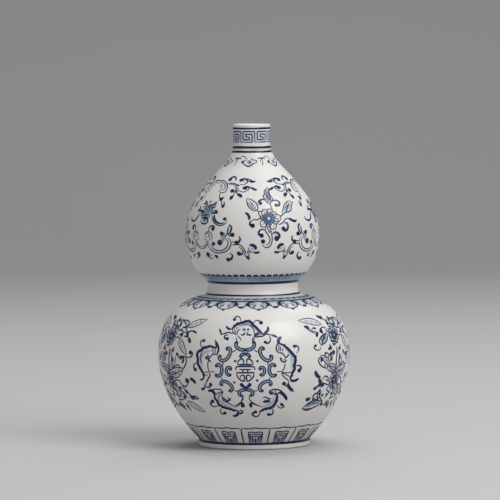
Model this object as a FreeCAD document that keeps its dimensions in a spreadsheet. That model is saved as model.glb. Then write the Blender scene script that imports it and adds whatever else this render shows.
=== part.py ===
import FreeCAD, Part
import math
import os

import Sketcher

# Double gourd vase, thrown in seven clay sections that are luted together with slip.
# Millimetres, +Z up. The origin is on the table under the middle of the foot, and the
# vase's axis is Z. Each section is drawn as half a profile in its own frame, with zero at
# its lower seat, turned once round the axis and lifted to its place in the stack.
# A share says how far along a bulb's curve a join lies: across, from the narrow end to the
# belly, and up, along the height of the section.

SIZES = {
    # Foot ring, with a bevel on both edges of the rim that stands on the table
    "foot_radius": 57.4,
    "foot_height": 7.0,
    "foot_ring_width": 8.0,
    "foot_bevel": 1.4,
    # Slip that lutes two sections together, wiped back outside and squeezed out inside
    "slip_thickness": 0.6,
    "slip_setback": 0.15,
    "slip_squeeze": 0.6,
    # Lower bulb, from the foot to its belly and from its belly to the collar
    "lower_wall": 5.0,
    "floor_thickness": 7.0,
    "lower_belly_radius": 98.4,
    "lower_base_height": 87.1,
    "bowl_join_across_share": 0.805,
    "bowl_join_up_share": 0.56,
    "lower_shoulder_height": 59.7,
    "lower_dome_join_across_share": 0.98,
    "lower_dome_join_up_share": 0.216,
    "shoulder_lip": 5.0,
    # Waist collar: its foot, its top and the bulb above stand out from its hollow side
    "waist_radius": 46.3,
    "waist_wall": 4.3,
    "collar_height": 13.8,
    "collar_foot_flare": 2.3,
    "collar_top_flare": 0.8,
    "collar_hollow_round": 18.0,
    # Upper bulb, from the collar to its belly and from its belly to the neck
    "upper_wall": 4.0,
    "upper_foot_flare": 1.0,
    "upper_lip": 1.5,
    "upper_belly_radius": 69.0,
    "upper_base_height": 44.6,
    "upper_shoulder_height": 86.8,
    "upper_dome_join_across_share": 0.711,
    "upper_dome_join_up_share": 0.5,
    "flare_join_across_share": 0.283,
    "flare_join_up_share": 0.786,
    # Neck
    "neck_height": 27.4,
    "neck_base_radius": 20.0,
    "neck_wall": 4.5,
    "neck_hollow_round": 118.0,
    "rim_taper": 0.5,
    "lip_rise": 1.8,
}

WAIST_BORE = "waist_radius - waist_wall"
NECK_BORE = "neck_base_radius - neck_wall"
COLLAR_FOOT = "waist_radius + collar_foot_flare"
COLLAR_TOP = "waist_radius + collar_top_flare"
UPPER_FOOT = "waist_radius + upper_foot_flare"
RIM = "neck_base_radius - rim_taper"

ORIGIN_INDEX = (-1, 1)
LEVEL_AXIS_INDEX = -1
UPRIGHT_AXIS_INDEX = -2
CENTRE_INDEX = 3

doc = FreeCAD.newDocument("double_gourd_vase")
sheet = doc.addObject("Spreadsheet::Sheet", "Sizes")
for row, (name, value) in enumerate(SIZES.items(), 1):
    sheet.set("A%d" % row, name)
    sheet.set("B%d" % row, str(value))
    sheet.setAlias("B%d" % row, name)
doc.recompute()


def named(expression):
    """Put the sheet's name before each size in an expression."""
    words = expression.split(" ")
    return " ".join("Sizes." + word if word in SIZES else word for word in words)


def value_of(expression):
    """The value of an expression that is written in the names of sizes."""
    return float(sheet.evalExpression(named(expression)))


def spot(corner):
    """The place of a corner that is a pair of expressions, across and up."""
    return tuple(value_of(expression) for expression in corner)


def share_of(share, low, high):
    """The expression for a share of the way from a low value to a high one."""
    return "%s + %s * ( %s - ( %s ) )" % (low, share, high, low)


class Outline:
    """A closed outline on the XZ plane of a body, drawn counter-clockwise."""

    def __init__(self, body):
        self.sketch = body.newObject("Sketcher::SketchObject", body.Label + "_outline")
        planes = [item for item in body.Origin.OriginFeatures if item.Role == "XZ_Plane"]
        self.sketch.AttachmentSupport = [(planes[0], "")]
        self.sketch.MapMode = "FlatFace"
        self.path = []

    def tie(self, kind, *places, size=None):
        """Add a constraint, with its size, if it has one, tied to the sheet."""
        if size is None:
            self.sketch.addConstraint(Sketcher.Constraint(kind, *places))
            return
        constraint = Sketcher.Constraint(kind, *places, value_of(size))
        index = self.sketch.addConstraint(constraint)
        self.sketch.setExpression("Constraints[%d]" % index, named(size))

    def line(self, start, end, guide=False):
        """Draw the next edge, or a guide line, as a straight line."""
        shape = Part.LineSegment(FreeCAD.Vector(*start, 0), FreeCAD.Vector(*end, 0))
        edge = self.sketch.addGeometry(shape, guide)
        if not guide:
            self.path.append((edge, 1, 2))
        return edge

    def arc(self, centre, start, end, clockwise=False):
        """Draw the next edge as an arc about a centre."""
        first, last = (end, start) if clockwise else (start, end)
        begin = math.atan2(first[1] - centre[1], first[0] - centre[0])
        finish = math.atan2(last[1] - centre[1], last[0] - centre[0])
        if finish <= begin:
            finish += 2 * math.pi
        circle = Part.Circle(FreeCAD.Vector(*centre, 0), FreeCAD.Vector(0, 0, 1),
                             math.dist(centre, start))
        edge = self.sketch.addGeometry(Part.ArcOfCircle(circle, begin, finish), False)
        self.path.append((edge, 2, 1) if clockwise else (edge, 1, 2))
        return edge

    def start_of(self, edge):
        """The point where an edge starts on the way round."""
        return next((item, first) for item, first, last in self.path if item == edge)

    def end_of(self, edge):
        """The point where an edge ends on the way round."""
        return next((item, last) for item, first, last in self.path if item == edge)

    def place(self, point, across=None, up=None):
        """Tie a point to its distances from the axis and from the seat."""
        if across == "0":
            self.tie("PointOnObject", *point, UPRIGHT_AXIS_INDEX)
        elif across:
            self.tie("DistanceX", *ORIGIN_INDEX, *point, size=across)
        if up == "0":
            self.tie("PointOnObject", *point, LEVEL_AXIS_INDEX)
        elif up:
            self.tie("DistanceY", *ORIGIN_INDEX, *point, size=up)

    def centre_level(self, arc, up):
        """Set an arc's centre level with a height, so that it is upright there."""
        self.place((arc, CENTRE_INDEX), None, up)

    def same_centre(self, inner, outer):
        """Give two arcs one centre, so that the wall between them is even."""
        self.tie("Coincident", inner, CENTRE_INDEX, outer, CENTRE_INDEX)

    def close(self, smooth=()):
        """Join each edge to the next one, smoothly where the first is in smooth."""
        for edge, after in zip(self.path, self.path[1:] + self.path[:1]):
            kind = "Tangent" if edge[0] in smooth else "Coincident"
            self.tie(kind, edge[0], edge[2], after[0], after[1])

    def polygon(self, corners):
        """Draw and tie a closed outline with straight edges."""
        spots = [spot(corner) for corner in corners]
        edges = [self.line(start, end) for start, end in zip(spots, spots[1:] + spots[:1])]
        self.close()
        for edge, corner in zip(edges, corners):
            self.place(self.start_of(edge), *corner)

    def spoke(self, arc, outer_point, inner_point):
        """Keep an inner point square through the wall from an outer point of an arc."""
        centre = self.sketch.getPoint(arc, CENTRE_INDEX)
        rim = self.sketch.getPoint(*outer_point)
        guide = self.line((centre.x, centre.y), (rim.x, rim.y), guide=True)
        self.tie("Coincident", guide, 1, arc, CENTRE_INDEX)
        self.tie("Coincident", guide, 2, *outer_point)
        self.tie("PointOnObject", *inner_point, guide)


def direction(centre, point):
    """The unit direction from a centre to a point."""
    reach = math.dist(centre, point)
    return ((point[0] - centre[0]) / reach, (point[1] - centre[1]) / reach)


def tangent_centre(join, normal, end):
    """The centre of the arc that leaves a join square to its normal and reaches an end."""
    across, up = end[0] - join[0], end[1] - join[1]
    reach = (across ** 2 + up ** 2) / (2 * (across * normal[0] + up * normal[1]))
    return (join[0] + reach * normal[0], join[1] + reach * normal[1])


def upright_centre(belly, end):
    """The centre of the arc that is upright at the belly and reaches an end."""
    return tangent_centre(belly, (1.0, 0.0), end)


def hollow_centre(low, high, radius):
    """The centre, outside the wall, of a hollow arc of a radius from low to high."""
    half = math.dist(low, high) / 2
    along = direction(low, high)
    back = math.sqrt(radius ** 2 - half ** 2)
    return (low[0] + along[0] * half + along[1] * back,
            low[1] + along[1] * half - along[0] * back)


def inward(point, normal, wall):
    """The point on the inner face, square through the wall from a point outside."""
    return (point[0] - wall * normal[0], point[1] - wall * normal[1])


def revolved(label, draw, level):
    """Turn a drawn outline once round the axis and lift it to its level."""
    body = doc.addObject("PartDesign::Body", label)
    body.Label = label
    outline = Outline(body)
    draw(outline)
    doc.recompute()
    if outline.sketch.solve() != 0:
        raise RuntimeError("the outline of %s has no solution" % label)
    turned = body.newObject("PartDesign::Revolution", label + "_turned")
    turned.Profile = outline.sketch
    turned.ReferenceAxis = (outline.sketch, ["V_Axis"])
    turned.Angle = 360.0
    body.Tip = turned
    body.setExpression("Placement.Base.z", named(level))
    doc.recompute()
    return body


def foot_ring(outline):
    """The turned ring that the vase stands on, bare clay on its lower rim."""
    inner = "foot_radius - foot_ring_width"
    outline.polygon([
        (inner + " + foot_bevel", "0"),
        ("foot_radius - foot_bevel", "0"),
        ("foot_radius", "foot_bevel"),
        ("foot_radius", "foot_height"),
        (inner, "foot_height"),
        (inner, "foot_bevel"),
    ])


def lower_bulb_base(outline):
    """The bowl of the lower bulb with its floor, from the foot up to the belly."""
    wall = value_of("lower_wall")
    foot_corner = ("foot_radius", "0")
    belly_corner = ("lower_belly_radius", "lower_base_height")
    inner_corner = ("lower_belly_radius - lower_wall", "lower_base_height")
    join_corner = (share_of("bowl_join_across_share", "foot_radius", "lower_belly_radius"),
                   "bowl_join_up_share * lower_base_height")
    middle_corner = ("0", "floor_thickness")
    foot, belly_spot, join = spot(foot_corner), spot(belly_corner), spot(join_corner)
    belly_centre = upright_centre(belly_spot, join)
    normal = direction(belly_centre, join)
    bowl_centre = tangent_centre(join, normal, foot)
    inner_join = inward(join, normal, wall)
    floor_up = value_of("floor_thickness")
    inner_round = math.dist(bowl_centre, inner_join)
    inner_across = bowl_centre[0] + math.sqrt(inner_round ** 2 - (floor_up - bowl_centre[1]) ** 2)
    inner_floor = (inner_across, floor_up)

    underside = outline.line((0.0, 0.0), foot)
    bowl = outline.arc(bowl_centre, foot, join)
    belly = outline.arc(belly_centre, join, belly_spot)
    land = outline.line(belly_spot, spot(inner_corner))
    inner_belly = outline.arc(belly_centre, spot(inner_corner), inner_join, clockwise=True)
    inner_bowl = outline.arc(bowl_centre, inner_join, inner_floor, clockwise=True)
    floor = outline.line(inner_floor, spot(middle_corner))
    middle = outline.line(spot(middle_corner), (0.0, 0.0))
    outline.close(smooth=(bowl, inner_belly))
    outline.place(outline.start_of(underside), "0", "0")
    outline.place(outline.start_of(bowl), *foot_corner)
    outline.place(outline.start_of(belly), *join_corner)
    outline.place(outline.end_of(belly), *belly_corner)
    outline.centre_level(belly, "lower_base_height")
    outline.place(outline.end_of(land), *inner_corner)
    outline.same_centre(inner_belly, belly)
    outline.same_centre(inner_bowl, bowl)
    outline.tie("Horizontal", floor)
    outline.place(outline.start_of(middle), *middle_corner)


def lower_bulb_shoulder(outline):
    """The dome of the lower bulb, from the belly to the seat of the collar."""
    belly_corner = ("lower_belly_radius", "0")
    inner_corner = ("lower_belly_radius - lower_wall", "0")
    collar_corner = (COLLAR_FOOT, "lower_shoulder_height")
    bore_corner = (WAIST_BORE, "lower_shoulder_height")
    lip_corner = (WAIST_BORE, "lower_shoulder_height - shoulder_lip")
    join_corner = (share_of("lower_dome_join_across_share", COLLAR_FOOT,
                            "lower_belly_radius"),
                   "lower_dome_join_up_share * lower_shoulder_height")
    belly_spot, join, collar = spot(belly_corner), spot(join_corner), spot(collar_corner)
    belly_centre = upright_centre(belly_spot, join)
    normal = direction(belly_centre, join)
    dome_centre = tangent_centre(join, normal, collar)
    inner_join = inward(join, normal, value_of("lower_wall"))
    inner_dome_centre = tangent_centre(inner_join, normal, spot(lip_corner))

    land = outline.line(spot(inner_corner), belly_spot)
    belly = outline.arc(belly_centre, belly_spot, join)
    dome = outline.arc(dome_centre, join, collar)
    seat = outline.line(collar, spot(bore_corner))
    lip = outline.line(spot(bore_corner), spot(lip_corner))
    inner_dome = outline.arc(inner_dome_centre, spot(lip_corner), inner_join,
                             clockwise=True)
    inner_belly = outline.arc(belly_centre, inner_join, spot(inner_corner),
                              clockwise=True)
    outline.close(smooth=(belly, inner_dome))
    outline.place(outline.start_of(land), *inner_corner)
    outline.place(outline.start_of(belly), *belly_corner)
    outline.centre_level(belly, "0")
    outline.place(outline.end_of(belly), *join_corner)
    outline.place(outline.end_of(dome), *collar_corner)
    outline.place(outline.end_of(seat), *bore_corner)
    outline.place(outline.end_of(lip), *lip_corner)
    outline.same_centre(inner_belly, belly)
    outline.spoke(belly, outline.end_of(belly), outline.end_of(inner_dome))


def waist_collar(outline):
    """The short hollow-sided collar that joins the two bulbs."""
    low_corner, high_corner = (COLLAR_FOOT, "0"), (COLLAR_TOP, "collar_height")
    low, high = spot(low_corner), spot(high_corner)
    centre = hollow_centre(low, high, value_of("collar_hollow_round"))
    bore, height = spot((WAIST_BORE, "collar_height"))

    outline.line((bore, 0.0), low)
    hollow = outline.arc(centre, low, high, clockwise=True)
    top = outline.line(high, (bore, height))
    bore_line = outline.line((bore, height), (bore, 0.0))
    outline.close()
    outline.place(outline.start_of(hollow), *low_corner)
    outline.place(outline.end_of(hollow), *high_corner)
    outline.tie("Radius", hollow, size="collar_hollow_round")
    outline.place(outline.end_of(top), WAIST_BORE, "collar_height")
    outline.place(outline.end_of(bore_line), WAIST_BORE, "0")


def upper_bulb_base(outline):
    """The bowl of the upper bulb, from the collar up to its belly."""
    foot_corner = (UPPER_FOOT, "0")
    lip_corner = (WAIST_BORE, "upper_lip")
    belly_corner = ("upper_belly_radius", "upper_base_height")
    inner_corner = ("upper_belly_radius - upper_wall", "upper_base_height")
    foot, inner_foot = spot(foot_corner), spot(lip_corner)
    belly, inner_belly = spot(belly_corner), spot(inner_corner)

    seat = outline.line(spot((WAIST_BORE, "0")), foot)
    bowl = outline.arc(upright_centre(belly, foot), foot, belly)
    land = outline.line(belly, inner_belly)
    inner_bowl = outline.arc(upright_centre(inner_belly, inner_foot), inner_belly,
                             inner_foot, clockwise=True)
    outline.line(inner_foot, spot((WAIST_BORE, "0")))
    outline.close()
    outline.place(outline.start_of(seat), WAIST_BORE, "0")
    outline.place(outline.start_of(bowl), *foot_corner)
    outline.place(outline.end_of(bowl), *belly_corner)
    outline.centre_level(bowl, "upper_base_height")
    outline.place(outline.end_of(land), *inner_corner)
    outline.centre_level(inner_bowl, "upper_base_height")
    outline.place(outline.end_of(inner_bowl), *lip_corner)


def upper_bulb_shoulder(outline):
    """The dome of the upper bulb and its flare up to the neck."""
    belly_corner = ("upper_belly_radius", "0")
    inner_corner = ("upper_belly_radius - upper_wall", "0")
    neck_corner = ("neck_base_radius", "upper_shoulder_height")
    bore_corner = (NECK_BORE, "upper_shoulder_height")
    join_corner = (share_of("upper_dome_join_across_share", "neck_base_radius",
                            "upper_belly_radius"),
                   "upper_dome_join_up_share * upper_shoulder_height")
    turn_corner = (share_of("flare_join_across_share", "neck_base_radius",
                            "upper_belly_radius"),
                   "flare_join_up_share * upper_shoulder_height")
    wall = value_of("upper_wall")
    belly_spot, join, turn = spot(belly_corner), spot(join_corner), spot(turn_corner)
    belly_centre = upright_centre(belly_spot, join)
    normal = direction(belly_centre, join)
    dome_centre = tangent_centre(join, normal, turn)
    turn_normal = direction(dome_centre, turn)
    flare_centre = tangent_centre(turn, turn_normal, spot(neck_corner))
    inner_join = inward(join, normal, wall)
    inner_turn = inward(turn, turn_normal, wall)
    inner_flare_centre = tangent_centre(inner_turn, turn_normal, spot(bore_corner))

    land = outline.line(spot(inner_corner), belly_spot)
    belly = outline.arc(belly_centre, belly_spot, join)
    dome = outline.arc(dome_centre, join, turn)
    flare = outline.arc(flare_centre, turn, spot(neck_corner), clockwise=True)
    seat = outline.line(spot(neck_corner), spot(bore_corner))
    inner_flare = outline.arc(inner_flare_centre, spot(bore_corner), inner_turn)
    inner_dome = outline.arc(dome_centre, inner_turn, inner_join, clockwise=True)
    inner_belly = outline.arc(belly_centre, inner_join, spot(inner_corner),
                              clockwise=True)
    outline.close(smooth=(belly, dome, inner_flare, inner_dome))
    outline.place(outline.start_of(land), *inner_corner)
    outline.place(outline.start_of(belly), *belly_corner)
    outline.centre_level(belly, "0")
    outline.place(outline.end_of(belly), *join_corner)
    outline.place(outline.end_of(dome), *turn_corner)
    outline.place(outline.end_of(flare), *neck_corner)
    outline.place(outline.end_of(seat), *bore_corner)
    outline.same_centre(inner_dome, dome)
    outline.same_centre(inner_belly, belly)
    outline.spoke(dome, outline.end_of(dome), outline.start_of(inner_dome))


def neck(outline):
    """The mouth tube with its rounded lip and straight bore."""
    low_corner, rim_corner = ("neck_base_radius", "0"), (RIM, "neck_height - lip_rise")
    bore_corner = (NECK_BORE, "neck_height - lip_rise")
    lip_width = "( neck_wall - rim_taper )"
    lip_round = "( %s ^ 2 / 4 + lip_rise ^ 2 ) / ( 2 * lip_rise )" % lip_width
    low, rim, bore_top = spot(low_corner), spot(rim_corner), spot(bore_corner)
    side_centre = hollow_centre(low, rim, value_of("neck_hollow_round"))
    lip_centre = ((rim[0] + bore_top[0]) / 2,
                  value_of("neck_height") - value_of(lip_round))

    outline.line(spot((NECK_BORE, "0")), low)
    side = outline.arc(side_centre, low, rim, clockwise=True)
    lip = outline.arc(lip_centre, rim, bore_top)
    bore_line = outline.line(bore_top, spot((NECK_BORE, "0")))
    outline.close()
    outline.place(outline.start_of(side), *low_corner)
    outline.place(outline.end_of(side), *rim_corner)
    outline.tie("Radius", side, size="neck_hollow_round")
    outline.place(outline.end_of(lip), *bore_corner)
    outline.tie("Radius", lip, size=lip_round)
    outline.place(outline.end_of(bore_line), NECK_BORE, "0")


def slip_ring(outer, inner):
    """A drawing of the flat ring of slip between two sections.

    outer and inner are the radii of the seat that it fills.
    """
    inside = inner + " - slip_squeeze"
    outside = outer + " - slip_setback"
    return lambda outline: outline.polygon([
        (inside, "0"),
        (outside, "0"),
        (outside, "slip_thickness"),
        (inside, "slip_thickness"),
    ])


# Each section with the slip on top of it, from the table up: the section's height, and
# the outer and inner radius of the seat on its top
STACK = [
    ("foot_ring", foot_ring, "foot_height",
     "foot_slip_seam", "foot_radius", "foot_radius - foot_ring_width"),
    ("lower_bulb_base", lower_bulb_base, "lower_base_height",
     "lower_belly_slip_seam", "lower_belly_radius", "lower_belly_radius - lower_wall"),
    ("lower_bulb_shoulder", lower_bulb_shoulder, "lower_shoulder_height",
     "shoulder_slip_seam", COLLAR_FOOT, WAIST_BORE),
    ("waist_collar", waist_collar, "collar_height",
     "waist_slip_seam", COLLAR_TOP, WAIST_BORE),
    ("upper_bulb_base", upper_bulb_base, "upper_base_height",
     "upper_belly_slip_seam", "upper_belly_radius", "upper_belly_radius - upper_wall"),
    ("upper_bulb_shoulder", upper_bulb_shoulder, "upper_shoulder_height",
     "neck_slip_seam", "neck_base_radius", NECK_BORE),
]

pieces = []
level = "0"
for section, draw_section, height, seam, seat_outer, seat_inner in STACK:
    pieces.append(revolved(section, draw_section, level))
    level += " + " + height
    pieces.append(revolved(seam, slip_ring(seat_outer, seat_inner), level))
    level += " + slip_thickness"
pieces.append(revolved("neck", neck, level))

doc.recompute()
for item in doc.Objects:
    if "Invalid" in item.State or "Error" in item.State:
        raise RuntimeError("%s failed: %s" % (item.Label, item.State))
for piece in pieces:
    if piece.Shape.isNull() or not piece.Shape.isValid():
        raise RuntimeError("%s has no valid shape" % piece.Label)

os.makedirs("parts", exist_ok=True)
for piece in pieces:
    piece.Shape.exportStep(os.path.join("parts", piece.Label + ".step"))
    box = piece.Shape.optimalBoundingBox()
    print("%-22s z %7.2f to %7.2f  radius %6.2f  volume %9.1f"
          % (piece.Label, box.ZMin, box.ZMax, box.XMax, piece.Shape.Volume))
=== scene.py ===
"""Blue and white double gourd vase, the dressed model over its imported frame.

Seven thrown sections are spun from their outlines and glazed. The cobalt painting
is then laid on them stroke by stroke, as thin closed films that follow the glaze.
Drawings are in millimetres on the surface, or read off the painter's tracing
sheets, which show the vase square on from the front.
"""
import bisect
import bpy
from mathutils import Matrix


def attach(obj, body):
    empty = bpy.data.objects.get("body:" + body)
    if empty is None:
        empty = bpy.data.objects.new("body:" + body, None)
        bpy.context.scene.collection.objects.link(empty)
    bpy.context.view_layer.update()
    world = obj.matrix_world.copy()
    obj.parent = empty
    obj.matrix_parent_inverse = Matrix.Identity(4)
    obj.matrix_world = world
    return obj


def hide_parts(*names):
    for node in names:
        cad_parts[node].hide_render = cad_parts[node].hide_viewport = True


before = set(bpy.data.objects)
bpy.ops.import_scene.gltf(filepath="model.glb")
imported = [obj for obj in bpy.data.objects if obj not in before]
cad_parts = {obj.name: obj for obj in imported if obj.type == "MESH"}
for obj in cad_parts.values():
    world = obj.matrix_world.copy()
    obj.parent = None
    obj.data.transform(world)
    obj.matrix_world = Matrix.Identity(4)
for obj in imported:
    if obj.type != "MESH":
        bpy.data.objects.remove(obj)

import copy
import logging
import math
import random
from contextlib import contextmanager
from dataclasses import dataclass, replace
from enum import Enum
from functools import partial
from typing import Iterator, Sequence

import bpy
from mathutils import Matrix, Vector

log = logging.getLogger("gourd_vase")
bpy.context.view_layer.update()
MM = 0.001
TOUCHING = 1e-6
NOUGHT = 1e-9
FULL_TURN = 2 * math.pi
Point = tuple[float, float]
Place = tuple[float, float, float]
Circle = tuple[float, float, float]
Colour = tuple[float, float, float]
Sizes = tuple[float, ...]


class Tone(Enum):
    """Strengths of the cobalt, from a thin wash to the full brush."""
    HAZE = 0.10
    WASH = 0.24
    SOFT = 0.46
    MID = 0.78
    DARK = 0.93
    FULL = 1.0


class Mark(Enum):
    """Kinds of brush mark that the painter makes."""
    LINE = "line"
    COMMA = "comma"
    DOT = "dot"
    LEAF = "leaf"
    WASH = "wash"
    SCROLL = "scroll"
    WING = "wing"


# Outline of the vase


def arc_to_upright(joint: Point, waist: Point) -> Circle:
    """Circle through two outline points that stands upright at the second.

    Args:
        joint: radius and height of the first point.
        waist: radius and height of the point where the outline is upright.

    Returns:
        The circle's centre radius, centre height and radius.
    """
    dr, dz = waist[0] - joint[0], waist[1] - joint[1]
    radius = (dr * dr + dz * dz) / (2.0 * dr)
    return waist[0] - radius, waist[1], abs(radius)


def arc_along(joint: Point, heading: Point, end: Point) -> Circle:
    """Circle that leaves a joint in a given heading and passes an end point.

    Args:
        joint: radius and height of the joint.
        heading: direction of the outline at the joint.
        end: radius and height of the far point.

    Returns:
        The circle's centre radius, centre height and radius.
    """
    dr, dz = end[0] - joint[0], end[1] - joint[1]
    nr, nz = -heading[1], heading[0]
    reach = (dr * dr + dz * dz) / (2.0 * (dr * nr + dz * nz))
    return joint[0] + reach * nr, joint[1] + reach * nz, abs(reach)


def arc_hollow(low: Point, high: Point, radius: float) -> Circle:
    """Circle of a hollow run, with its centre outside the wall.

    Args:
        low: lower end of the run.
        high: upper end of the run.
        radius: radius of the hollow.

    Returns:
        The circle's centre radius, centre height and radius.
    """
    mr, mz = (low[0] + high[0]) / 2, (low[1] + high[1]) / 2
    dr, dz = high[0] - low[0], high[1] - low[1]
    chord = math.hypot(dr, dz)
    rise = math.sqrt(radius * radius - chord * chord / 4)
    return mr + rise * dz / chord, mz - rise * dr / chord, radius


def walk(circle: Circle, start: Point, end: Point, step: float) -> list[Point]:
    """Points along the short way round a circle.

    Args:
        circle: centre radius, centre height and radius.
        start: first point.
        end: last point.
        step: greatest distance between points.

    Returns:
        The points, both ends with them.
    """
    cr, cz, radius = circle
    a = math.atan2(start[1] - cz, start[0] - cr)
    b = math.atan2(end[1] - cz, end[0] - cr)
    turn = (b - a + math.pi) % FULL_TURN - math.pi
    count = max(1, math.ceil(abs(turn) * radius / step))
    return [(cr + radius * math.cos(a + turn * i / count),
             cz + radius * math.sin(a + turn * i / count)) for i in range(count + 1)]


def heading_at(circle: Circle, point: Point) -> Point:
    """Upward heading of a circle at one of its points."""
    nr, nz = (point[0] - circle[0]) / circle[2], (point[1] - circle[1]) / circle[2]
    return (-nz, nr) if nr > 0 else (nz, -nr)


def beside(points: Sequence[Point], offsets: Sequence[float]) -> list[Point]:
    """Points moved sideways, to the left of their run.

    Args:
        points: the run.
        offsets: how far each point moves.

    Returns:
        The moved points.
    """
    moved, last = [], len(points) - 1
    for i, ((x, y), off) in enumerate(zip(points, offsets)):
        a, b = points[max(i - 1, 0)], points[min(i + 1, last)]
        dx, dy = b[0] - a[0], b[1] - a[1]
        size = math.hypot(dx, dy) or 1.0
        moved.append((x - off * dy / size, y + off * dx / size))
    return moved


@dataclass(frozen=True)
class VaseSizes:
    """Sizes of the vase's outline, in millimetres. Points are radius and height."""
    foot: Point = (57.4, 7.0)
    foot_bevel: float = 1.4
    foot_inside: float = 49.4
    bowl_join: Point = (90.405, 56.376)
    lower_belly: Point = (98.4, 94.7)
    lower_turn: Point = (98.4, 95.3)
    lower_dome_join: Point = (97.404, 108.195)
    shoulder_top: Point = (48.6, 155.0)
    collar_hollow: float = 18.0
    collar_top: Point = (47.1, 169.4)
    upper_foot: Point = (47.3, 170.0)
    upper_belly: Point = (69.0, 214.6)
    upper_turn: Point = (69.0, 215.2)
    upper_dome_join: Point = (54.839, 258.6)
    flare_turn: Point = (33.867, 283.425)
    neck_foot: Point = (20.0, 302.0)
    neck_hollow: float = 118.0
    neck_top: Point = (19.5, 328.2)
    lip: float = 329.9
    mouth: float = 15.5
    floor: float = 14.6
    lower_wall: float = 5.0
    upper_wall: float = 4.0
    waist_bore: float = 42.0
    luting: float = 0.6
    skin: float = 0.10


class Outline:
    """Outer outline of the vase, run by run from its foot to its lip."""

    def __init__(self, sizes: VaseSizes) -> None:
        """Work out the runs.

        Args:
            sizes: the vase's sizes.
        """
        s = self.sizes = sizes
        foot_top = (s.foot[0], s.foot[1] + s.luting)
        low_belly = arc_to_upright(s.bowl_join, s.lower_belly)
        bowl = arc_along(s.bowl_join, heading_at(low_belly, s.bowl_join), foot_top)
        low_turn = arc_to_upright(s.lower_dome_join, s.lower_turn)
        low_dome = arc_along(s.lower_dome_join, heading_at(low_turn, s.lower_dome_join),
                             s.shoulder_top)
        collar_foot = (s.shoulder_top[0], s.shoulder_top[1] + s.luting)
        collar = arc_hollow(collar_foot, s.collar_top, s.collar_hollow)
        up_bowl = arc_to_upright(s.upper_foot, s.upper_belly)
        up_turn = arc_to_upright(s.upper_dome_join, s.upper_turn)
        up_dome = arc_along(s.upper_dome_join, heading_at(up_turn, s.upper_dome_join),
                            s.flare_turn)
        flare = arc_along(s.flare_turn, heading_at(up_dome, s.flare_turn), s.neck_foot)
        neck_foot = (s.neck_foot[0], s.neck_foot[1] + s.luting)
        neck = arc_hollow(neck_foot, s.neck_top, s.neck_hollow)
        self.plan = {
            "foot": [((s.foot[0], s.foot_bevel), s.foot, None)],
            "lower_base": [(s.foot, foot_top, None), (foot_top, s.bowl_join, bowl),
                           (s.bowl_join, s.lower_belly, low_belly)],
            "lower_shoulder": [(s.lower_belly, s.lower_turn, None),
                               (s.lower_turn, s.lower_dome_join, low_turn),
                               (s.lower_dome_join, s.shoulder_top, low_dome)],
            "collar": [(s.shoulder_top, collar_foot, None),
                       (collar_foot, s.collar_top, collar)],
            "upper_base": [(s.collar_top, s.upper_foot, None),
                           (s.upper_foot, s.upper_belly, up_bowl)],
            "upper_shoulder": [(s.upper_belly, s.upper_turn, None),
                               (s.upper_turn, s.upper_dome_join, up_turn),
                               (s.upper_dome_join, s.flare_turn, up_dome),
                               (s.flare_turn, s.neck_foot, flare)],
            "neck": [(s.neck_foot, neck_foot, None), (neck_foot, s.neck_top, neck)],
        }

    def run(self, name: str, step: float) -> list[Point]:
        """Points of one section's outside, from its foot up.

        Args:
            name: the section's name in the plan.
            step: greatest distance between points.

        Returns:
            Radius and height of each point.
        """
        points: list[Point] = []
        for start, end, circle in self.plan[name]:
            piece = [start, end] if circle is None else walk(circle, start, end, step)
            points += piece[1:] if points else piece
        return points


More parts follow.
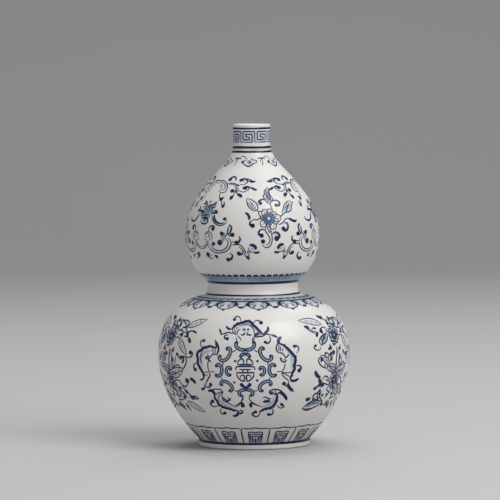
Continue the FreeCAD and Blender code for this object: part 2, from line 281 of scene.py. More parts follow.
class Surface:
    """The glazed outside, as a table along its outline for the painter to follow.

    The step is between its rows. A line of sight is searched for the glaze from the reach
    before the axis, over the sweep, in strides of which the last is halved again and again.
    """
    step = 0.8
    reach, sweep, stride, halvings = 110.0, 112.0, 1.5, 18

    def __init__(self, outline: Outline) -> None:
        """Lay out the table.

        Args:
            outline: the vase's outline.
        """
        raw: list[Point] = []
        for name in outline.plan:
            run = outline.run(name, self.step)
            raw += [p for p in run if not raw or math.dist(p, raw[-1]) > TOUCHING]
        self.rows: list[tuple[float, float, float, float]] = []
        self.along: list[float] = []
        self.heights = [z for _, z in raw]
        length = 0.0
        for i, (r, z) in enumerate(raw):
            if i:
                length += math.dist(raw[i - 1], raw[i])
            a, b = raw[max(i - 1, 0)], raw[min(i + 1, len(raw) - 1)]
            dr, dz = b[0] - a[0], b[1] - a[1]
            size = math.hypot(dr, dz)
            self.rows.append((r, z, dz / size, -dr / size))
            self.along.append(length)
        self.skin = outline.sizes.skin

    def find(self, table: Sequence[float], value: float) -> tuple[int, float]:
        """Find where a value lies in a rising table.

        Args:
            table: the rising values.
            value: what is looked for.

        Returns:
            The row before it, and its share of the way to the next.
        """
        i = min(max(bisect.bisect_right(table, value) - 1, 0), len(table) - 2)
        t = (value - table[i]) / (table[i + 1] - table[i])
        return i, min(max(t, 0.0), 1.0)

    def row(self, s: float) -> tuple[float, float, float, float]:
        """Look up the outline at a distance along it.

        Args:
            s: the distance in millimetres.

        Returns:
            Radius, height, and the normal's two parts.
        """
        i, t = self.find(self.along, s)
        a, b = self.rows[i], self.rows[i + 1]
        return tuple(a[k] + (b[k] - a[k]) * t for k in range(4))

    def along_at(self, z: float) -> float:
        """Distance along the outline at a height."""
        i, t = self.find(self.heights, z)
        return self.along[i] + (self.along[i + 1] - self.along[i]) * t

    def radius_at(self, z: float) -> float:
        """Outside radius at a height."""
        return self.row(self.along_at(z))[0]

    def place(self, angle: float, s: float, lift: float) -> Place:
        """A point in metres on the glaze, or over it.

        Args:
            angle: turn round the vase from the front, to the right, in radians.
            s: distance along the outline in millimetres.
            lift: height over the glaze in millimetres.

        Returns:
            The point.
        """
        r, z, nr, nz = self.row(s)
        off = lift - self.skin
        r, z = r + off * nr, z + off * nz
        return r * math.sin(angle) * MM, -r * math.cos(angle) * MM, z * MM

    def meet(self, eye: Vector, way: Vector) -> Point:
        """Where a line of sight first meets the glaze.

        Args:
            eye: where the line starts, in millimetres.
            way: its direction.

        Returns:
            The turn round the vase and the distance along its outline.
        """
        def gap(t: float) -> float:
            """Distance of the line's point from the glaze, below zero inside it."""
            p = eye + way * t
            return math.hypot(p.x, p.y) - self.radius_at(p.z)

        flat = way.x * way.x + way.y * way.y
        near = -(eye.x * way.x + eye.y * way.y) / flat - self.reach
        best, low = (math.inf, near), None
        t = near
        while t < near + self.sweep:
            g = gap(t)
            if g < best[0]:
                best = (g, t)
            if g <= 0.0:
                low = t
                break
            t += self.stride
        if low is None:
            t = best[1]
        else:
            a, b = low - self.stride, low
            for _ in range(self.halvings):
                t = (a + b) / 2
                a, b = (t, b) if gap(t) > 0 else (a, t)
        p = eye + way * t
        return math.atan2(p.x, -p.y), self.along_at(p.z)


@dataclass(frozen=True)
class View:
    """The camera's place and lens, in millimetres and degrees."""
    target: Place = (-2.8, 0.0, 200.5)
    distance: float = 4070.0
    rise: float = 3.1
    roll: float = 0.55
    lens: float = 285.5
    film: float = 36.0
    picture: float = 500.0
    far: float = 50.0

    def basis(self) -> tuple[Vector, Vector, Vector, Vector]:
        """Work out how the camera stands.

        Returns:
            Its place, and its forward, right and up directions.
        """
        e = math.radians(self.rise)
        target = Vector(self.target)
        eye = target + self.distance * Vector((0.0, -math.cos(e), math.sin(e)))
        ahead = (target - eye).normalized()
        right = ahead.cross(Vector((0, 0, 1))).normalized()
        turn = Matrix.Rotation(math.radians(self.roll), 3, ahead)
        right = turn @ right
        return eye, ahead, right, right.cross(ahead)

    def ray(self, x: float, y: float) -> tuple[Vector, Vector]:
        """The line of sight through a spot of the picture.

        Args:
            x: the spot's distance from the left.
            y: its distance from the top.

        Returns:
            The camera's place and the line's direction.
        """
        eye, ahead, right, up = self.basis()
        scale, middle = self.lens / self.film * self.picture, self.picture / 2
        way = ahead + right * ((x - middle) / scale) + up * ((middle - y) / scale)
        return eye, way.normalized()

    def camera(self) -> None:
        """Build the camera."""
        eye, ahead, right, up = self.basis()
        lens = bpy.data.cameras.new("front_camera")
        lens.lens, lens.clip_end = self.lens, self.far
        camera = bpy.data.objects.new("front_camera", lens)
        bpy.context.collection.objects.link(camera)
        turn = Matrix((right, up, -ahead)).transposed().to_4x4()
        camera.matrix_world = Matrix.Translation(eye * MM) @ turn
        bpy.context.scene.camera = camera


# Charts, on which the painter's drawings lie flat


class Chart:
    """Flat drawing wrapped round the vase as a band."""

    def __init__(self, surface: Surface, angle: float, height: float,
                 radius: float = 0.0) -> None:
        """Set the drawing's middle.

        Args:
            surface: the glaze.
            angle: degrees round from the front, to the right.
            height: height of the drawing's zero line.
            radius: radius at which widths are true, or 0 for the zero line's.
        """
        self.surface = surface
        self.angle = math.radians(angle)
        self.zero = surface.along_at(height)
        self.radius = radius or surface.radius_at(height)

    def to_surface(self, x: float, y: float) -> Point:
        """Turn and distance along the outline for a drawing point."""
        return self.angle + x / self.radius, self.zero + y

    def to_drawing(self, angle: float, s: float) -> Point:
        """Drawing point for a place on the surface."""
        return (angle - self.angle) * self.radius, s - self.zero

    def turned(self, degrees: float) -> "Chart":
        """The same chart further round the vase.

        Args:
            degrees: how far round, to the right.

        Returns:
            The turned chart.
        """
        other = copy.copy(self)
        other.angle = self.angle + math.radians(degrees)
        return other


class RoundChart(Chart):
    """Drawing laid on a belly, which keeps distances from its middle true."""

    def __init__(self, surface: Surface, angle: float, height: float, belly: float) -> None:
        """Set the drawing's middle.

        Args:
            surface: the glaze.
            angle: degrees round from the front, to the right.
            height: height of the middle in millimetres.
            belly: height of the belly's widest ring.
        """
        super().__init__(surface, angle, belly)
        self.tilt = (surface.along_at(height) - self.zero) / self.radius

    def to_surface(self, x: float, y: float) -> Point:
        """Carry a drawing point to the glaze.

        Args:
            x: distance to the right of the middle.
            y: distance over it.

        Returns:
            The turn round the vase and the distance along its outline.
        """
        c = math.hypot(x, y) / self.radius
        if c < NOUGHT:
            return self.angle, self.zero + self.tilt * self.radius
        sx, sy = x / (c * self.radius), y / (c * self.radius)
        sin_c, cos_c = math.sin(c), math.cos(c)
        sin_t, cos_t = math.sin(self.tilt), math.cos(self.tilt)
        lat = math.asin(cos_c * sin_t + sy * sin_c * cos_t)
        lon = math.atan2(sx * sin_c, cos_c * cos_t - sy * sin_c * sin_t)
        return self.angle + lon, self.zero + lat * self.radius

    def to_drawing(self, angle: float, s: float) -> Point:
        """Carry a place on the glaze to the drawing.

        Args:
            angle: turn round the vase.
            s: distance along its outline.

        Returns:
            The drawing point.
        """
        lat, lon = (s - self.zero) / self.radius, angle - self.angle
        sin_t, cos_t = math.sin(self.tilt), math.cos(self.tilt)
        cos_c = sin_t * math.sin(lat) + cos_t * math.cos(lat) * math.cos(lon)
        c = math.acos(min(1.0, max(-1.0, cos_c)))
        k = self.radius * (c / math.sin(c) if c > NOUGHT else 1.0)
        return (k * math.cos(lat) * math.sin(lon),
                k * (cos_t * math.sin(lat) - sin_t * math.cos(lat) * math.cos(lon)))


@dataclass(frozen=True)
class TracingSheet:
    """One enlarged sheet of the painter's drawing of the front."""
    left: float
    top: float
    enlargement: float

    def trace(self, view: View, chart: Chart, points: Sequence[Point]) -> list[Point]:
        """Carry points from the sheet to a chart.

        Args:
            view: where the vase is looked at from.
            chart: the chart that receives the drawing.
            points: points on the sheet, right and down from its corner.

        Returns:
            The points on the chart, in millimetres.
        """
        found = []
        for x, y in points:
            eye, way = view.ray(self.left + x / self.enlargement,
                                self.top + y / self.enlargement)
            found.append(chart.to_drawing(*chart.surface.meet(eye, way)))
        return found

    def traced(self, view: View, chart: Chart,
               strokes: Sequence["Stroke"]) -> list["Stroke"]:
        """Carry whole strokes from the sheet to a chart."""
        return [replace(s, points=tuple(self.trace(view, chart, s.points))) for s in strokes]


# Brush


@dataclass(frozen=True)
class Stroke:
    """One mark of a drawing: its kind, weight, strength and points."""
    mark: Mark
    width: float
    tone: Tone
    points: tuple[Point, ...]
    head: float = 0.0


def stroke(width: float, *spots: float, mark: Mark = Mark.LINE, tone: Tone = Tone.DARK,
           head: float = 0.0) -> Stroke:
    """Write down one stroke.

    Args:
        width: its width, or a dot's radius.
        spots: its points' coordinates, two by two.
        mark: its kind.
        tone: its strength.
        head: radius of a comma's head.

    Returns:
        The stroke.
    """
    return Stroke(mark, width, tone, tuple(zip(spots[::2], spots[1::2])), head)


def comma(width: float, head: float, *spots: float) -> Stroke:
    """A tapering curl that ends in a round head."""
    return stroke(width, *spots, mark=Mark.COMMA, tone=Tone.FULL, head=head)


# Lines that thin at their ends, in three strengths of the cobalt
line = stroke
bold = partial(stroke, tone=Tone.FULL)
pale = partial(stroke, tone=Tone.MID)
# Round dots, pointed leaves along their ribs, and broad thin washes along their middles
dot = partial(stroke, mark=Mark.DOT, tone=Tone.FULL)
leaf = partial(stroke, mark=Mark.LEAF, tone=Tone.MID)
wash = partial(stroke, mark=Mark.WASH, tone=Tone.WASH)
# Plump round-ended bands outlined over a wash, and heavy bumpy edges of wings
scroll = partial(stroke, mark=Mark.SCROLL)
wing = partial(stroke, mark=Mark.WING, tone=Tone.FULL)


def smooth(points: Sequence[Point], step: float) -> list[Point]:
    """A flowing curve through points.

    Args:
        points: what the curve passes through.
        step: distance between its points.

    Returns:
        Evenly spaced points.
    """
    held = [tuple(2 * points[0][k] - points[1][k] for k in (0, 1)), *points,
            tuple(2 * points[-1][k] - points[-2][k] for k in (0, 1))]
    dense: list[Point] = []
    for i in range(1, len(held) - 2):
        p0, p1, p2, p3 = held[i - 1:i + 3]
        count = max(2, math.ceil(math.dist(p1, p2) / (step * 0.5)))
        for j in range(count):
            t = j / count
            dense.append(tuple(
                0.5 * (2 * p1[k] + (p2[k] - p0[k]) * t
                       + (2 * p0[k] - 5 * p1[k] + 4 * p2[k] - p3[k]) * t * t
                       + (3 * p1[k] - p0[k] - 3 * p2[k] + p3[k]) * t ** 3) for k in (0, 1)))
    dense.append(tuple(held[-2]))
    return even(dense, step)


def waves(table: Sequence[Point], angle: float, phases: Sequence[float]) -> float:
    """Add up waves round the vase.

    Args:
        table: how often each wave runs round, and its height.
        angle: where they are added.
        phases: where each starts.

    Returns:
        Their sum.
    """
    return sum(size * math.sin(times * angle + phase)
               for (times, size), phase in zip(table, phases))


def even(points: Sequence[Point], step: float) -> list[Point]:
    """Points set at even distances along a run of points.

    Args:
        points: the run.
        step: greatest distance between the new points.

    Returns:
        The new points, both ends with them.
    """
    total = [0.0]
    for a, b in zip(points, points[1:]):
        total.append(total[-1] + math.dist(a, b))
    count = max(2, math.ceil(total[-1] / step))
    found, i = [], 0
    for j in range(count + 1):
        want = total[-1] * j / count
        while i < len(points) - 2 and total[i + 1] < want:
            i += 1
        span = total[i + 1] - total[i]
        t = (want - total[i]) / span if span > NOUGHT else 0.0
        a, b = points[i], points[i + 1]
        found.append((a[0] + (b[0] - a[0]) * t, a[1] + (b[1] - a[1]) * t))
    return found


@dataclass
class Brush:
    """Lays strokes as thin closed films on the glaze and keeps them as one mesh.

    The lift is the film's height over the glaze, and the seed starts the hand's small
    variations. The other fields are the brush's habits. Lengths are in millimetres, and
    the pairs that end in _tone are the strength at the start and what it gains.
    """
    surface: Surface
    lift: float
    seed: int
    sunk: float = -0.16
    overlay: float = 0.02
    step: float = 1.1
    finer: float = 0.8
    column: float = 1.6
    faded_columns: int = 4
    wrap: float = 50.0
    crease: float = 40.0
    hair: float = 0.3
    weight: float = 1.25
    thin: float = 0.55
    unsteady: Point = (0.86, 1.08)
    phases: Point = (0.0, 6.28)
    swell: float = 4.5
    line_tone: Point = (0.88, 0.12)
    thick: float = 1.7
    thick_grow_taper: Point = (1.2, 0.2)
    slim_grow_taper: Point = (1.0, 0.5)
    comma_width: float = 1.3
    comma_body: Sizes = (0.3, 0.7, 0.8)
    comma_least: float = 0.35
    comma_tone: Point = (0.72, 0.28)
    comma_head: float = 1.25
    disc_steps: tuple[int, int] = (6, 8)
    small_disc: float = 1.4
    disc_least: float = 0.08
    leaf_curve: Point = (0.8, 0.75)
    leaf_wash: float = 0.006
    leaf_least: float = 0.2
    leaf_edge: Point = (0.8, 0.5)
    rib: float = 0.6
    rib_depth: float = 0.8
    rib_length: float = 0.85
    ribbed_leaf: float = 2.6
    vein: float = 0.45
    vein_depth: float = 0.6
    vein_reach: float = 0.7
    veined_leaf: float = 4.5
    scroll_half: float = 0.40
    scroll_wash: float = 0.17
    scroll_inset: float = 0.4
    scroll_edge: float = 1.35
    scroll_knob: Point = (0.8, 0.7)
    wash_ends: Point = (0.08, 0.84)
    wash_round: float = 0.6
    wash_tone: Point = (0.35, 0.65)
    wash_fade: float = 0.25
    wing_grow_taper: Point = (1.05, 0.6)
    bump_step: float = 4.4
    bump_size: Point = (0.9, 1.5)
    bump_out: Point = (0.15, 0.5)
    ring_points: int = 240
    ring_sway: float = 0.07
    ring_waves: tuple[Point, ...] = ((3, 1.0), (7, 0.6))
    ring_tone: Point = (0.96, 0.04)
    band_points: int = 168
    band_rows: int = 5
    band_edge: float = 0.55
    band_waves: tuple[Point, ...] = ((5, 0.5), (11, 0.3), (23, 0.3))

    def __post_init__(self) -> None:
        """Start with a clean brush and no chart."""
        self.hand = random.Random(self.seed)
        self.verts: list[Place] = []
        self.faces: list[tuple[int, ...]] = []
        self.tones: list[float] = []
        self.chart: Chart | None = None
        self.frames: list[Matrix] = [Matrix.Identity(3)]

    @contextmanager
    def at(self, x: float = 0.0, y: float = 0.0, turn: float = 0.0,
           flip: bool = False) -> Iterator[None]:
        """Draw what follows moved, turned or flipped.

        Args:
            x: move to the right.
            y: move up.
            turn: turn anticlockwise in degrees.
            flip: whether left and right change places first.

        Returns:
            The block in which the move is in force.
        """
        a = math.radians(turn)
        c, s, f = math.cos(a), math.sin(a), -1.0 if flip else 1.0
        self.frames.append(self.frames[-1] @ Matrix(((c * f, -s, x), (s * f, c, y), (0, 0, 1))))
        try:
            yield
        finally:
            self.frames.pop()

    def mirrored(self) -> Iterator[None]:
        """Draw what follows as it is, and again with left and right changed over.

        Returns:
            One turn of the loop for each.
        """
        for flip in (False, True):
            with self.at(flip=flip):
                yield

    def around(self, chart: Chart, count: int) -> Iterator[int]:
        """Draw what follows at even places round the vase.

        Args:
            chart: the chart of the first place.
            count: how many places there are.

        Returns:
            The number of each place in turn.
        """
        for i in range(count):
            self.chart = chart.turned(360.0 * i / count)
            yield i

    def moved(self, points: Sequence[Point]) -> list[Point]:
        """Carry points through the moves in force.

        Args:
            points: drawing points.

        Returns:
            The chart points.
        """
        m = self.frames[-1]
        return [(m[0][0] * x + m[0][1] * y + m[0][2], m[1][0] * x + m[1][1] * y + m[1][2])
                for x, y in points]

    def film(self, sections: Sequence[Sequence[Point]], tones: Sequence[Sequence[float]],
             closed: bool = False) -> None:
        """Lay one closed film over rows of chart points.

        Args:
            sections: rows of points across the film, left to right.
            tones: strength of the cobalt at each point.
            closed: whether the last row meets the first.
        """
        base, across = len(self.verts), len(sections[0])
        for row, depth in zip(sections, tones):
            top = list(zip(row, depth))
            for lift, spots in ((self.lift, top), (self.sunk, (top[0], top[-1]))):
                for (x, y), tone in spots:
                    place = self.chart.to_surface(x, y)
                    self.verts.append(self.surface.place(*place, lift))
                    self.tones.append(tone)
        wide, count = across + 2, len(sections)
        for i in range(count if closed else count - 1):
            a, b = base + i * wide, base + (i + 1) % count * wide
            for j in range(across - 1):
                self.faces.append((a + j, a + j + 1, b + j + 1, b + j))
            self.faces.append((a + across - 1, a + across + 1, b + across + 1, b + across - 1))
            self.faces.append((a + across, a, b, b + across))
            self.faces.append((a + across + 1, a + across, b + across, b + across + 1))
        if not closed:
            last = base + (count - 1) * wide
            self.faces.append((base + across, base + across + 1,
                               *range(base + across - 1, base - 1, -1)))
            self.faces.append((last + across + 1, last + across, *range(last, last + across)))

    def ribbon(self, points: Sequence[Point], widths: Sequence[float],
               tones: Sequence[float], closed: bool = False, fade: float = 1.0) -> None:
        """Lay a film of changing width along a curve.

        Args:
            points: the curve, already carried to the chart.
            widths: full width at each point.
            tones: strength at each point.
            closed: whether the curve runs back to its start.
            fade: share of the strength left at the film's edges.
        """
        if closed:
            points, widths, tones = points[:-1], widths[:-1], tones[:-1]
        count = len(points)
        across = max(1, math.ceil(max(widths) / self.column))
        if fade < 1.0:
            across = max(across, self.faded_columns)
        sections, depths = [], []
        for i, (x, y) in enumerate(points):
            a = points[i - 1] if closed or i else points[0]
            b = points[(i + 1) % count] if closed or i < count - 1 else points[-1]
            if closed and math.dist(a, b) > self.wrap:
                a, b = (points[i], b) if i == 0 else (a, points[i])
            dx, dy = b[0] - a[0], b[1] - a[1]
            size = math.hypot(dx, dy) or 1.0
            nx, ny = dy / size, -dx / size
            half = widths[i] / 2
            row, depth = [], []
            for j in range(across + 1):
                t = -1 + 2 * j / across
                row.append((x + nx * half * t, y + ny * half * t))
                depth.append(tones[i] * (1.0 - (1.0 - fade) * t * t))
            sections.append(row)
            depths.append(depth)
        self.film(sections, depths, closed)

    def plain(self, points: Sequence[Point], width: float, tone: float) -> None:
        """Lay a film of one width and strength along a curve on the chart."""
        self.ribbon(points, [width] * len(points), [tone] * len(points))

    def waver(self, tone: float) -> float:
        """A strength as the hand gives it this time."""
        return min(1.0, tone * self.hand.uniform(*self.unsteady))

    def line(self, points: Sequence[Point], width: float, tone: float, taper: float = 0.55,
             straight: bool = False) -> None:
        """Draw a line.

        Args:
            points: drawing points.
            width: its width at the middle.
            tone: its strength.
            taper: share of the width left at its ends.
            straight: whether it keeps the corners between its points.
        """
        path = (even if straight else smooth)(self.moved(points), self.step)
        count, tone = len(path) - 1, self.waver(tone)
        start, gain = self.line_tone
        widths, tones = [], []
        for i in range(count + 1):
            t = i / count
            body = taper + (1 - taper) * min(1.0, self.swell * t, self.swell * (1 - t))
            widths.append(self.weight * width * body)
            tones.append(tone * (start + gain * t))
        self.ribbon(path, widths, tones)

    def comma(self, points: Sequence[Point], width: float, head: float, tone: float) -> None:
        """Draw a tapering curl with a round head at its last point.

        Args:
            points: drawing points from the tail to the head.
            width: width next to the head.
            head: radius of the head.
            tone: strength of the head.
        """
        path = smooth(self.moved(points), self.step * self.finer)
        count, tone = len(path) - 1, self.waver(tone)
        width *= self.weight * self.comma_width
        (tail, growth, power), (start, gain) = self.comma_body, self.comma_tone
        self.ribbon(path, [max(self.comma_least, width * (tail + growth * (i / count) ** power))
                           for i in range(count + 1)],
                    [tone * (start + gain * i / count) for i in range(count + 1)])
        self.disc(path[-1], head * self.comma_head, tone)

    def disc(self, centre: Point, radius: float, tone: float) -> None:
        """Lay a round blob.

        Args:
            centre: its middle on the chart.
            radius: its radius.
            tone: its strength.
        """
        count = self.disc_steps[0 if radius < self.small_disc else 1]
        path, widths = [], []
        for i in range(count + 1):
            a = math.pi * i / count
            path.append((centre[0] - radius * math.cos(a), centre[1]))
            widths.append(max(self.disc_least, 2 * radius * math.sin(a)))
        self.ribbon(path, widths, [tone] * (count + 1))

    def leaf(self, points: Sequence[Point], width: float, tone: float) -> None:
        """Draw a pointed leaf with its outline, wash, rib and veins.

        Args:
            points: drawing points along the rib, from stem to tip.
            width: its full width.
            tone: strength of its lines.
        """
        path = smooth(self.moved(points), self.step)
        count, tone = len(path) - 1, self.waver(tone)
        halves = [0.0] * (count + 1)
        lean, blunt = self.leaf_curve
        for i in range(1, count):
            halves[i] = width / 2 * math.sin(math.pi * (i / count) ** lean) ** blunt
        self.ribbon(path, [max(self.leaf_least, 2 * half - self.hair) for half in halves],
                    [self.leaf_wash] * (count + 1))
        self.up()
        for sign in (1, -1):
            side = beside(path, [sign * half for half in halves])
            edge = even(side, self.step)
            last = len(edge) - 1
            least, more = self.leaf_edge
            self.ribbon(edge, [least + more * math.sin(math.pi * i / last)
                               for i in range(last + 1)], [tone] * (last + 1))
            gap = max(3, count // 4)
            for i in range(gap, count - gap, gap) if width > self.veined_leaf else ():
                tip = tuple(path[i + 1][k] * (1 - self.vein_reach)
                            + side[i + 1][k] * self.vein_reach for k in (0, 1))
                self.plain(even([path[max(0, i - 1)], tip], self.step), self.vein,
                           tone * self.vein_depth)
        if width > self.ribbed_leaf:
            self.plain(path[: max(3, int(count * self.rib_length))], self.rib,
                       tone * self.rib_depth)
        self.down()

    def scroll(self, points: Sequence[Point], width: float, tone: float) -> None:
        """Draw a plump band with round ends, its edges darker than its middle.

        Args:
            points: drawing points along its middle.
            width: its full width.
            tone: strength of its edges.
        """
        path = smooth(self.moved(points), self.step * self.finer)
        tone, half, run = self.waver(tone), width * self.scroll_half, [0.0]
        for a, b in zip(path, path[1:]):
            run.append(run[-1] + math.dist(a, b))
        halves = []
        for done in run:
            near = min(1.0, min(done, run[-1] - done) / half)
            halves.append(half * math.sqrt(max(0.0, 1 - (1 - near) ** 2)))
        self.ribbon(path, [max(self.hair, 2 * here - self.scroll_inset) for here in halves],
                    [self.scroll_wash] * len(path))
        self.up()
        for sign in (1, -1):
            edge = beside(path, [sign * here for here in halves])
            self.plain(even(edge, self.step), self.scroll_edge, tone)
        size, depth = self.scroll_knob
        for i in (2, -3):
            self.disc(path[i], half * size, tone * depth)
        self.down()

    def up(self) -> None:
        """Lift the brush a little, to draw over a wash."""
        self.lift += self.overlay

    def down(self) -> None:
        """Set the brush down by as much."""
        self.lift -= self.overlay

    def wash(self, points: Sequence[Point], width: float, tone: float) -> None:
        """Lay a thin wash that fades at its edges and ends.

        Args:
            points: drawing points along its middle.
            width: its full width.
            tone: its strength.
        """
        path = smooth(self.moved(points), self.column)
        count = len(path) - 1
        (first, span), (start, gain) = self.wash_ends, self.wash_tone
        body = [math.sin(math.pi * (first + span * i / count)) for i in range(count + 1)]
        self.ribbon(path, [max(self.hair, width * b ** self.wash_round) for b in body],
                    [tone * (start + gain * b) for b in body], fade=self.wash_fade)

    def wing(self, points: Sequence[Point], width: float, tone: float) -> None:
        """Draw a wing's heavy edge, with bumps on the side away from the middle.

        Args:
            points: drawing points along it.
            width: its width.
            tone: its strength.
        """
        grow, taper = self.wing_grow_taper
        self.line(points, width * grow, tone, taper)
        for x, y in smooth(self.moved(points), self.bump_step)[1:-1]:
            out = 1.0 + self.hand.uniform(*self.bump_out) * width / math.hypot(x, y)
            self.disc((x * out, y * out), self.hand.uniform(*self.bump_size), tone)

    def paint(self, strokes: Sequence[Stroke]) -> None:
        """Draw a list of strokes.

        Args:
            strokes: the strokes, with their points in millimetres.
        """
        for stroke in strokes:
            points, width, tone = stroke.points, stroke.width, stroke.tone.value
            if stroke.mark is Mark.LINE:
                grow, taper = (self.thick_grow_taper if width > self.thick
                               else self.slim_grow_taper)
                self.line(points, width * grow, tone, taper)
            elif stroke.mark is Mark.COMMA:
                self.comma(points, width, stroke.head, tone)
            elif stroke.mark is Mark.DOT:
                for spot in self.moved(points):
                    self.disc(spot, width, self.waver(tone))
            elif stroke.mark is Mark.LEAF:
                self.leaf(points, width, tone)
            elif stroke.mark is Mark.SCROLL:
                self.scroll(points, width, tone)
            elif stroke.mark is Mark.WING:
                self.wing(points, width, tone)
            else:
                self.down()
                self.wash(points, width, tone * self.thin)
                self.up()

    def ring(self, height: float, width: float, tone: float) -> None:
        """Draw a line right round the vase.

        Args:
            height: its height in millimetres.
            width: its width.
            tone: its strength.
        """
        radius = self.surface.radius_at(height)
        self.chart = Chart(self.surface, 0.0, height, radius)
        phase = [self.hand.uniform(*self.phases) for _ in range(3)]
        start, gain = self.ring_tone
        points, widths, tones = [], [], []
        for i in range(self.ring_points + 1):
            a = FULL_TURN * i / self.ring_points
            sway = self.ring_sway * waves(self.ring_waves, a, phase)
            points.append(((a - math.pi) * radius, sway))
            widths.append(width * (1 + sway))
            tones.append(min(1.0, tone * (start + gain * math.sin(2 * a + phase[2]))))
        self.ribbon(points, widths, tones, closed=True)

    def band(self, low: float, high: float, tone: float, uneven: float = 0.35) -> None:
        """Lay an uneven wash right round the vase.

        Args:
            low: height of the wash's lower edge.
            high: height of its upper edge.
            tone: strength at its middle.
            uneven: how much the strength comes and goes.
        """
        chart = self.chart = Chart(self.surface, 0.0, (low + high) / 2)
        a, b = (self.surface.along_at(z) - chart.zero for z in (low, high))
        phase = [self.hand.uniform(*self.phases) for _ in range(4)]
        sections, depths, last = [], [], self.band_rows - 1
        for i in range(self.band_points):
            t = FULL_TURN * i / self.band_points
            here = tone * (1 + uneven * waves(self.band_waves, t, phase))
            sections.append([((t - math.pi) * chart.radius, b + (a - b) * j / last)
                             for j in range(last + 1)])
            depths.append([here * (self.band_edge if j in (0, last) else 1.0)
                           for j in range(last + 1)])
        self.film(sections, depths, closed=True)

    def finish(self, name: str, material: bpy.types.Material) -> bpy.types.Object:
        """Turn the strokes laid so far into one piece.

        Args:
            name: the piece's name.
            material: its finish.

        Returns:
            The piece.
        """
        mesh = bpy.data.meshes.new(name)
        mesh.from_pydata(self.verts, [], self.faces)
        layer = mesh.attributes.new("cobalt", "FLOAT", "POINT")
        layer.data.foreach_set("value", self.tones)
        mesh.update()
        piece = bpy.data.objects.new(name, mesh)
        bpy.context.collection.objects.link(piece)
        mesh.materials.append(material)
        bpy.ops.object.select_all(action="DESELECT")
        piece.select_set(True)
        bpy.context.view_layer.objects.active = piece
        bpy.ops.object.shade_smooth_by_angle(angle=math.radians(self.crease))
        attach(piece, "root")
        return piece


# Finishes


class NodeBench:
    """Sets out the shader nodes of one material."""

    def __init__(self, name: str) -> None:
        """Start an empty material.

        Args:
            name: the material's name.
        """
        self.material = bpy.data.materials.new(name)
        self.material.use_nodes = True
        self.tree = self.material.node_tree
        self.tree.nodes.clear()
        self.spot = self.add("ShaderNodeTexCoord").outputs["Object"]

    def add(self, kind: str, settings: dict | None = None,
            inputs: dict | None = None) -> bpy.types.Node:
        """Add a node.

        Args:
            kind: the node's type.
            settings: its properties.
            inputs: values or sockets for its inputs, by name or number.

        Returns:
            The node.
        """
        node = self.tree.nodes.new(kind)
        for key, value in (settings or {}).items():
            setattr(node, key, value)
        for key, value in (inputs or {}).items():
            if isinstance(value, bpy.types.NodeSocket):
                self.tree.links.new(value, node.inputs[key])
            else:
                node.inputs[key].default_value = value
        return node

    def noise(self, scale: float, detail: float, rough: float = 0.5) -> bpy.types.NodeSocket:
        """A noise over the object's own coordinates.

        Args:
            scale: how fine it is.
            detail: how many finer layers it has.
            rough: how strong these are.

        Returns:
            The noise's value.
        """
        node = self.add("ShaderNodeTexNoise", None, {
            "Vector": self.spot, "Scale": scale, "Detail": detail, "Roughness": rough})
        return node.outputs["Fac"]

    def patches(self, scale: float, detail: float, rough: float, low: float, high: float,
                between: float = 0.0, inside: float = 1.0) -> bpy.types.NodeSocket:
        """Soft patches over the piece.

        Args:
            scale: how fine they are.
            detail: how many finer layers they have.
            rough: how strong these are.
            low: noise at which they start.
            high: noise at which they are full.
            between: the value between the patches.
            inside: the value inside them.

        Returns:
            The value.
        """
        node = self.add("ShaderNodeMapRange", {"clamp": True}, {
            "Value": self.noise(scale, detail, rough), "From Min": low, "From Max": high,
            "To Min": between, "To Max": inside})
        return node.outputs["Result"]

    def bumps(self, strength: float, distance: float, scale: float, detail: float,
              under: bpy.types.NodeSocket | None = None) -> bpy.types.NodeSocket:
        """Fine bumps of the surface.

        Args:
            strength: how strong they are.
            distance: their height in metres.
            scale: how fine they are.
            detail: how many finer layers they have.
            under: the normal that they stand on.

        Returns:
            The bumped normal.
        """
        inputs = {"Strength": strength, "Distance": distance,
                  "Height": self.noise(scale, detail)}
        if under is not None:
            inputs["Normal"] = under
        return self.add("ShaderNodeBump", None, inputs).outputs["Normal"]

    def blend(self, share: bpy.types.NodeSocket | float, a: object, b: object,
              how: str = "MIX") -> bpy.types.NodeSocket:
        """Two colours mixed by a share.

        Args:
            share: share of the second colour.
            a: the first colour.
            b: the second.
            how: the way they are mixed.

        Returns:
            The mixed colour.
        """
        node = self.add("ShaderNodeMix", {"data_type": "RGBA", "blend_type": how},
                        {0: share, 6: a, 7: b})
        return node.outputs[2]

    def stops(self, value: bpy.types.NodeSocket,
              colours: Sequence[tuple[float, Colour]]) -> bpy.types.NodeSocket:
        """A value turned to a colour through stops.

        Args:
            value: the value, from 0 to 1.
            colours: each stop's place and colour, in rising order.

        Returns:
            The colour.
        """
        node = self.add("ShaderNodeValToRGB", None, {"Fac": value})
        ramp = node.color_ramp
        for at, _ in colours[2:]:
            ramp.elements.new(at)
        for element, (at, colour) in zip(ramp.elements, colours):
            element.position, element.color = at, (*colour, 1.0)
        return node.outputs["Color"]

    def surface(self, colour: bpy.types.NodeSocket, roughness: bpy.types.NodeSocket,
                normal: bpy.types.NodeSocket, fixed: dict) -> bpy.types.Material:
        """Close the material with its shader.

        Args:
            colour: base colour.
            roughness: roughness.
            normal: bumped normal.
            fixed: plain values for other inputs.

        Returns:
            The material.
        """
        shader = self.add("ShaderNodeBsdfPrincipled", None, {
            "Base Color": colour, "Roughness": roughness, "Normal": normal, **fixed})
        self.add("ShaderNodeOutputMaterial", None, {"Surface": shader.outputs["BSDF"]})
        return self.material


